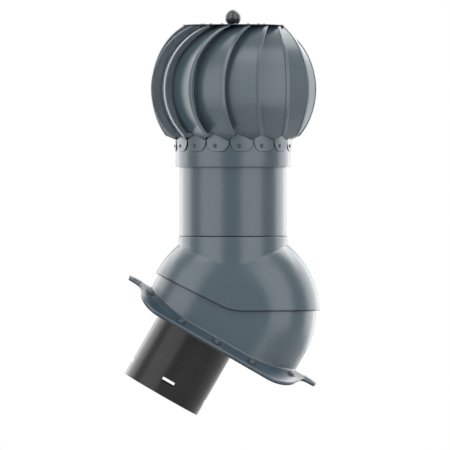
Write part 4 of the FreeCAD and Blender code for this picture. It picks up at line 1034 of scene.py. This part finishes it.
class COWL_OT_fixings(Operator):
    """Build the flange screws and their rubber washers"""

    bl_idname = "cowl.fixings"
    bl_label = "Screws and washers"

    def execute(self, context):
        b = context.scene.cowl_base
        seat = b.washer_thick - b.recess_depth
        top = seat + b.screw_collar_height + b.screw_hexagon
        corner = b.screw_flats / math.sqrt(3)
        edge = 0.3 * MM
        collar = seat + b.screw_collar_height
        shank = np.array([[0.0, seat - b.screw_length - b.screw_shank],
                          [b.screw_shank, seat - b.screw_length], [b.screw_shank, seat],
                          [b.screw_collar - edge, seat], [b.screw_collar, seat + edge],
                          [b.screw_collar - 0.2 * MM, seat + 0.6 * b.screw_collar_height],
                          [corner + 0.1 * MM, collar], [0.0, collar]])
        hexagon = np.array([[0.0, collar - edge], [corner, collar - edge], [corner, top - 0.45 * MM],
                            [b.screw_flats / 2, top - 0.1 * MM], [0.92 * b.screw_flats / 2, top],
                            [0.0, top - 0.05 * MM]])
        pit = rounded([(b.screw_shank, -b.recess_depth, 0.0), (b.washer, -b.recess_depth, 0.25 * MM),
                       (b.washer, seat, 0.45 * MM), (b.screw_shank, seat, 0.0)])
        one_screw = (lathe(shank, 48, closed=False), lathe(hexagon, 96, closed=False, flats=b.screw_flats))
        screws, washers = [], []
        spin_step, sharp = 0.37, 25.0
        for index, (s, y) in enumerate(screw_places(b)):
            spin = spin_step * index
            for grid in one_screw:
                screws.append(placed(grid, lambda p: on_roof(flange_place(turned(p, spin), s, y, b))))
            washers.append(placed(lathe(pit, 56), lambda p: on_roof(flange_place(p, s, y, b))))
        show("flange_screw_heads", screws, "graphite_screw", "base", "flange_screws", sharp=sharp)
        show("flange_washer_rings", washers, "black_rubber", "base", "flange_washers")
        return {"FINISHED"}


class COWL_OT_pipe(Operator):
    """Build the inlet pipe with its collar and slots"""

    bl_idname = "cowl.pipe"
    bl_label = "Inlet pipe"

    def execute(self, context):
        b = context.scene.cowl_base

        def place(points):
            return on_roof(moved(points, b.pipe_shift))

        inner, outer, edge, fillet = b.pipe_radius - b.pipe_wall, b.pipe_radius, 0.5 * MM, 1.2 * MM
        top, under = -b.pipe_collar_low, -b.pipe_collar_low - b.pipe_collar_thick
        wall = rounded([(inner, -b.pipe_mouth, edge), (outer, -b.pipe_mouth, edge), (outer, under, fillet),
                        (b.pipe_collar, under, edge), (b.pipe_collar, top, edge), (inner, top, edge)])
        grid = placed(lathe(wall, COLUMNS), place)
        pipe = new_object("inlet_pipe_wall", new_mesh("inlet_pipe_wall", [grid]))
        middle = b.slot_rise - b.pipe_mouth
        across = rounded([(side * b.slot_width / 2, middle + rise * b.slot_height / 2, edge)
                          for side, rise in ((-1, -1), (1, -1), (1, 1), (-1, 1))], 3)
        spare = 2 * MM
        ring = np.stack([np.stack([np.full(len(across), r), across[:, 0], across[:, 1]], -1)
                         for r in (inner - spare, outer + spare)])
        centre = np.broadcast_to(ring.mean(1, keepdims=True), ring.shape)
        cutters = []
        for turn in (0.0, FULL / 4, FULL / 2, 3 * FULL / 4):
            for grid in (ring, np.stack([ring[0], centre[0]]), np.stack([ring[1], centre[1]])):
                cutters.append(placed((grid, False, True), lambda p: place(turned(p, turn))))
        carve(pipe, cutters)
        dress(pipe, "black_pipe", "base", "inlet_pipe")
        return {"FINISHED"}


# Finishes

def feed(tree, entry, value):
    """Links another node's output to an input, or sets a number or a colour on it."""
    if isinstance(value, bpy.types.NodeSocket):
        tree.links.new(value, entry)
    else:
        entry.default_value = value


def add(tree, kind, *values, **named):
    """A new node. Values without a name go to its inputs in order, and named ones to the input or the
    setting of that name."""
    made = tree.nodes.new(kind)
    for key, value in named.items():
        if key in made.inputs:
            feed(tree, made.inputs[key], value)
        else:
            setattr(made, key, value)
    for entry, value in zip(made.inputs, values):
        feed(tree, entry, value)
    return made


def combined(tree, operation, first, second):
    """Output of a math node."""
    return add(tree, "ShaderNodeMath", first, second, operation=operation).outputs["Value"]


def spread_to(tree, source, low, high, start=0.0, end=1.0, interpolation="LINEAR"):
    """Output that runs from low to high while the source runs from start to end."""
    node = add(tree, "ShaderNodeMapRange", source, start, end, low, high, interpolation_type=interpolation)
    return node.outputs["Result"]


def mark(tree, name):
    """Output that reads a vertex mark, 0 where a mesh has none."""
    return add(tree, "ShaderNodeAttribute", attribute_type="GEOMETRY", attribute_name=name).outputs["Fac"]


def mixed(tree, factor, first, second):
    """Output of two shaders mixed."""
    return add(tree, "ShaderNodeMixShader", factor, first, second).outputs["Shader"]


def empty_tree(owner):
    """Node tree of a new material or world, with nothing in it."""
    owner.use_nodes = True
    owner.node_tree.nodes.clear()
    return owner.node_tree


def grain(tree, place, scale, detail, stretch=(1.0, 1.0, 1.0)):
    """Noise on Object coordinates at a number of cells a metre."""
    spread = add(tree, "ShaderNodeMapping", Vector=place, Scale=tuple(scale * s for s in stretch))
    noise = add(tree, "ShaderNodeTexNoise", Vector=spread.outputs["Vector"], Scale=1.0, Detail=detail,
                Roughness=0.55)
    return noise.outputs["Fac"]


# Colour, range of roughness, index of refraction, cells a metre and depth of the fine grain, shade and cells
# a metre of the clouds in the colour, and how much finer the grain is along each axis
FINISH = {
    "graphite_moulding": dict(colour="moulding", rough=(0.26, 0.30), ior=1.56, cells=1900.0, depth=0.002 * MM,
                              shade=0.035, cloud=18.0),
    "graphite_sheet": dict(colour="sheet", rough=(0.25, 0.29), ior=1.56, cells=1700.0, depth=0.002 * MM,
                           shade=0.04, cloud=24.0),
    # Painted light: a paler copy of the sheet's paint, used on the vanes.
    "graphite_vane": dict(colour="vane", rough=(0.27, 0.31), ior=1.56, cells=1700.0, depth=0.002 * MM,
                          shade=0.04, cloud=24.0),
    "graphite_knob": dict(colour="knob", rough=(0.25, 0.29), ior=1.56, cells=1700.0, depth=0.002 * MM,
                          shade=0.04, cloud=24.0),
    "graphite_screw": dict(colour="screw", rough=(0.30, 0.42), ior=1.6, cells=1800.0, depth=0.02 * MM,
                           shade=0.08, cloud=160.0),
    "black_pipe": dict(colour="pipe", rough=(0.24, 0.30), ior=1.34, cells=1100.0, depth=0.003 * MM,
                       shade=0.15, cloud=30.0),
    "black_rubber": dict(colour="rubber", rough=(0.62, 0.78), ior=1.5, cells=2600.0, depth=0.03 * MM,
                         shade=0.2, cloud=200.0),
    "zinc_steel": dict(colour="zinc", rough=(0.32, 0.48), ior=1.5, metal=1.0, cells=900.0, depth=0.01 * MM,
                       shade=0.12, cloud=120.0),
    "turned_steel": dict(colour="steel", rough=(0.20, 0.34), ior=1.5, metal=1.0, cells=700.0,
                         depth=0.006 * MM, shade=0.06, cloud=90.0, stretch=(0.15, 0.15, 6.0)),
    "turned_aluminium": dict(colour="aluminium", rough=(0.26, 0.40), ior=1.5, metal=1.0, cells=600.0,
                             depth=0.008 * MM, shade=0.06, cloud=70.0, stretch=(0.15, 0.15, 5.0)),
    "cage_plastic": dict(colour="cage", rough=(0.45, 0.6), ior=1.5, cells=1500.0, depth=0.01 * MM, shade=0.06,
                         cloud=150.0),
}


def painted_crevice_shade(tree):
    """Painted shade: output that is 1 in the open and falls by ambient occlusion in narrow gaps and along
    overlaps, but not on the vertices marked bright, and that also falls on the painted shade lines along the
    hood's rim and above the collar. The finish scales its colour and its specular level by it."""
    reach = 4.0 * MM
    hollow = add(tree, "ShaderNodeAmbientOcclusion", samples=8, Distance=reach)
    shade = spread_to(tree, hollow.outputs["AO"], 0.12, 1.0, 0.60, 0.92)
    kept = combined(tree, "MAXIMUM", shade, mark(tree, "bright"))
    # Painted shade lines: the share falls to a tenth where that mark is full.
    return combined(tree, "MULTIPLY", kept, spread_to(tree, mark(tree, "soil"), 1.0, 0.1))


def clouded(tree, place, base, shade, scale):
    """Output of a colour that drifts between a little darker and a little paler."""
    ramp = add(tree, "ShaderNodeValToRGB", Fac=grain(tree, place, scale, 3.0))
    for element, position, share in zip(ramp.color_ramp.elements, (0.3, 0.7), (1 - shade, 1 + shade)):
        element.position = position
        element.color = (*(base * share), 1.0)
    return ramp.outputs["Color"]


def material(slot):
    """The finish of a material slot: a clouded colour, a fine grain in the roughness and the bump, painted shade
    that makes it darker and duller in narrow gaps, and primer in place of the colour on the vertices marked as a
    back."""
    name = "finish_" + slot
    if name in bpy.data.materials:
        return bpy.data.materials[name]
    kind = FINISH[slot]
    finishes = bpy.context.scene.cowl_finishes
    paint = bpy.data.materials.new(name)
    tree = empty_tree(paint)
    place = add(tree, "ShaderNodeTexCoord").outputs["Object"]
    fine = grain(tree, place, kind["cells"], 2.0, kind.get("stretch", (1.0, 1.0, 1.0)))
    open_share = painted_crevice_shade(tree)
    base = np.array(getattr(finishes, kind["colour"]))
    coat = add(tree, "ShaderNodeMix", mark(tree, "back"), data_type="RGBA")
    feed(tree, coat.inputs[6], clouded(tree, place, base, kind["shade"], kind["cloud"]))
    feed(tree, coat.inputs[7], (*finishes.primer, 1.0))
    # Painted shade: the colour and the specular level fall with the crevice share.
    dim = add(tree, "ShaderNodeVectorMath", coat.outputs[2], operation="SCALE", Scale=open_share)
    bump = add(tree, "ShaderNodeBump", Height=fine, Distance=kind["depth"], Strength=1.0)
    shader = add(tree, "ShaderNodeBsdfPrincipled", Metallic=kind.get("metal", 0.0), IOR=kind["ior"])
    feed(tree, shader.inputs["Base Color"], dim.outputs["Vector"])
    feed(tree, shader.inputs["Specular IOR Level"], combined(tree, "MULTIPLY", open_share, 0.5))
    feed(tree, shader.inputs["Roughness"], spread_to(tree, fine, *kind["rough"], 0.3, 0.7))
    feed(tree, shader.inputs["Normal"], bump.outputs["Normal"])
    add(tree, "ShaderNodeOutputMaterial", Surface=shader.outputs["BSDF"])
    return paint


class COWL_OT_inner(Operator):
    """Give every piece that keeps its frame shape the finish of its slot"""

    bl_idname = "cowl.inner"
    bl_label = "Inner pieces"

    def execute(self, context):
        for part in frame["record"]["subparts"]:
            node = frame["nodes"][part["node"]]
            if not node.hide_render:
                node.data.materials.clear()
                node.data.materials.append(material(part["material_slot"]))
        return {"FINISHED"}


# Stage

# Name, width and height in metres, power in watts, azimuth and elevation in degrees
LAMPS = (
    ("soft_left", 1.90, 2.6, 31.0, -48.0, 10.0),
    ("soft_right", 1.75, 2.6, 29.0, 41.0, 10.0),
    ("rim_left", 2.1, 2.4, 39.0, -130.0, 5.0),
    ("rim_right", 2.1, 2.4, 39.0, 131.0, 5.0),
    ("upper_left", 1.1, 0.9, 9.0, -45.0, 58.0),
    ("upper_right", 1.1, 0.9, 7.0, 45.0, 58.0),
    ("back_right", 1.5, 1.3, 24.0, 140.0, 48.0),
    ("back_left", 1.5, 1.3, 10.0, -140.0, 48.0),
)
LAMP_DISTANCE = 2.0
SENSOR_WIDTH = 36.0
WHITE = (1.0, 1.0, 1.0, 1.0)


def aim(made, target, azimuth, elevation, distance):
    """Puts a lamp or a camera on a ball about the target, facing it. Azimuth 0 is the photograph's side."""
    out = Vector((math.sin(azimuth) * math.cos(elevation), -math.cos(azimuth) * math.cos(elevation),
                  math.sin(elevation)))
    made.location = target + out * distance
    made.rotation_mode = "QUATERNION"
    made.rotation_quaternion = out.to_track_quat("Z", "Y")
    bpy.context.scene.collection.objects.link(made)


def lamp(name, width, height, watts, azimuth, elevation, target):
    """Soft rectangular lamp that the camera doesn't see."""
    data = bpy.data.lights.new(name, "AREA")
    data.shape = "RECTANGLE"
    data.size, data.size_y = width, height
    data.energy = watts
    made = bpy.data.objects.new(name, data)
    made.visible_camera = False
    aim(made, target, math.radians(azimuth), math.radians(elevation), LAMP_DISTANCE)


def white_world():
    """World that the camera and the object's reflections see as plain white, and that lights the object
    only softly."""
    world = bpy.data.worlds.new("studio")
    tree = empty_tree(world)
    path = add(tree, "ShaderNodeLightPath").outputs
    seen = combined(tree, "MAXIMUM", path["Is Camera Ray"], path["Is Glossy Ray"])
    shown = combined(tree, "MAXIMUM", seen, path["Is Transmission Ray"])
    soft = add(tree, "ShaderNodeBackground", Color=WHITE, Strength=0.16)
    plain = add(tree, "ShaderNodeBackground", Color=WHITE, Strength=1.0)
    both = mixed(tree, shown, soft.outputs["Background"], plain.outputs["Background"])
    add(tree, "ShaderNodeOutputWorld", Surface=both)
    bpy.context.scene.world = world


def floor_mesh(reach, height):
    """Level round floor: rings of points about the upright axis under the object."""
    a = np.linspace(0.0, FULL, 96, endpoint=False)
    r = np.linspace(0.0, reach, 12)[:, None]
    grid = np.stack([PIVOT[0] + r * np.cos(a), r * np.sin(a), np.full((len(r), len(a)), height)], -1)
    mesh = new_mesh("floor", [(grid, False, True)])
    mesh.flip_normals()
    return mesh


def floor_finish(reach):
    """Pale floor that the camera sees as nearly white, with the object's soft shadow. It fades out
    towards its rim, so that no edge shows against the white surroundings, and it is clear from below."""
    pale = bpy.data.materials.new("floor")
    tree = empty_tree(pale)
    path = add(tree, "ShaderNodeLightPath").outputs
    lit = add(tree, "ShaderNodeBsdfDiffuse", Color=(0.85, 0.85, 0.85, 1.0)).outputs["BSDF"]
    glow = add(tree, "ShaderNodeEmission", Color=WHITE, Strength=1.0).outputs["Emission"]
    top = mixed(tree, combined(tree, "MULTIPLY", path["Is Camera Ray"], 0.75), lit, glow)
    place = add(tree, "ShaderNodeTexCoord").outputs["Object"]
    centred = add(tree, "ShaderNodeMapping", Vector=place, Location=(-PIVOT[0], 0.0, 0.0),
                  Scale=(1.0, 1.0, 0.0))
    away = add(tree, "ShaderNodeVectorMath", centred.outputs["Vector"], operation="LENGTH").outputs["Value"]
    fade = spread_to(tree, away, 0.0, 1.0, 0.35 * reach, 0.95 * reach, "SMOOTHSTEP")
    below = add(tree, "ShaderNodeNewGeometry").outputs["Backfacing"]
    clear = add(tree, "ShaderNodeBsdfTransparent").outputs["BSDF"]
    shown = mixed(tree, combined(tree, "MAXIMUM", fade, below), top, clear)
    add(tree, "ShaderNodeOutputMaterial", Surface=shown)
    return pale


class COWL_OT_stage(Operator):
    """Set the pale floor, the white surroundings, the soft lamps and the camera"""

    bl_idname = "cowl.stage"
    bl_label = "Stage"

    def execute(self, context):
        s = context.scene.cowl_stage
        floor = new_object("floor", floor_mesh(s.floor_reach, -s.floor_drop))
        floor.data.materials.append(floor_finish(s.floor_reach))
        white_world()
        target = Vector((PIVOT[0] + s.view_centre_x, 0.0, PIVOT[2] + s.view_centre_z))
        for lamp_values in LAMPS:
            lamp(*lamp_values, target)
        data = bpy.data.cameras.new("camera")
        data.sensor_width = SENSOR_WIDTH
        data.lens = SENSOR_WIDTH * s.camera_distance / s.view_width
        camera = bpy.data.objects.new("camera", data)
        aim(camera, target, 0.0, s.camera_height, s.camera_distance)
        context.scene.camera = camera
        context.scene.view_settings.view_transform = "Standard"
        return {"FINISHED"}


# Panel and registration

STEPS = (COWL_OT_vanes, COWL_OT_top, COWL_OT_skirt, COWL_OT_hood, COWL_OT_tube, COWL_OT_base,
         COWL_OT_fixings, COWL_OT_pipe, COWL_OT_inner, COWL_OT_stage)
GROUPS = {"cowl_turbine": CowlTurbineSizes, "cowl_head": CowlHeadSizes, "cowl_base": CowlBaseSizes,
          "cowl_finishes": CowlFinishes, "cowl_stage": CowlStageSizes}


class COWL_PT_sidebar(Panel):
    """Steps and sizes of the cowl"""

    bl_idname = "COWL_PT_sidebar"
    bl_label = "Rotating cowl"
    bl_space_type = "VIEW_3D"
    bl_region_type = "UI"
    bl_category = "Cowl"

    def draw(self, context):
        for step in STEPS:
            self.layout.operator(step.bl_idname)
        for name, group in GROUPS.items():
            box = self.layout.box()
            box.label(text=group.__doc__)
            for key in group.__annotations__:
                box.prop(getattr(context.scene, name), key)


def register():
    """Registers the sizes, the steps and the panel."""
    for name, group in GROUPS.items():
        bpy.utils.register_class(group)
        setattr(bpy.types.Scene, name, PointerProperty(type=group))
    for step in STEPS:
        bpy.utils.register_class(step)
    bpy.utils.register_class(COWL_PT_sidebar)


def unregister():
    """Takes them all back."""
    bpy.utils.unregister_class(COWL_PT_sidebar)
    for step in reversed(STEPS):
        bpy.utils.unregister_class(step)
    for name, group in GROUPS.items():
        delattr(bpy.types.Scene, name)
        bpy.utils.unregister_class(group)


def main():
    register()
    bpy.ops.cowl.vanes()
    bpy.ops.cowl.top()
    bpy.ops.cowl.skirt()
    bpy.ops.cowl.hood()
    bpy.ops.cowl.tube()
    bpy.ops.cowl.base()
    bpy.ops.cowl.fixings()
    bpy.ops.cowl.pipe()
    bpy.ops.cowl.inner()
    bpy.ops.cowl.stage()


if __name__ == "__main__":
    main()
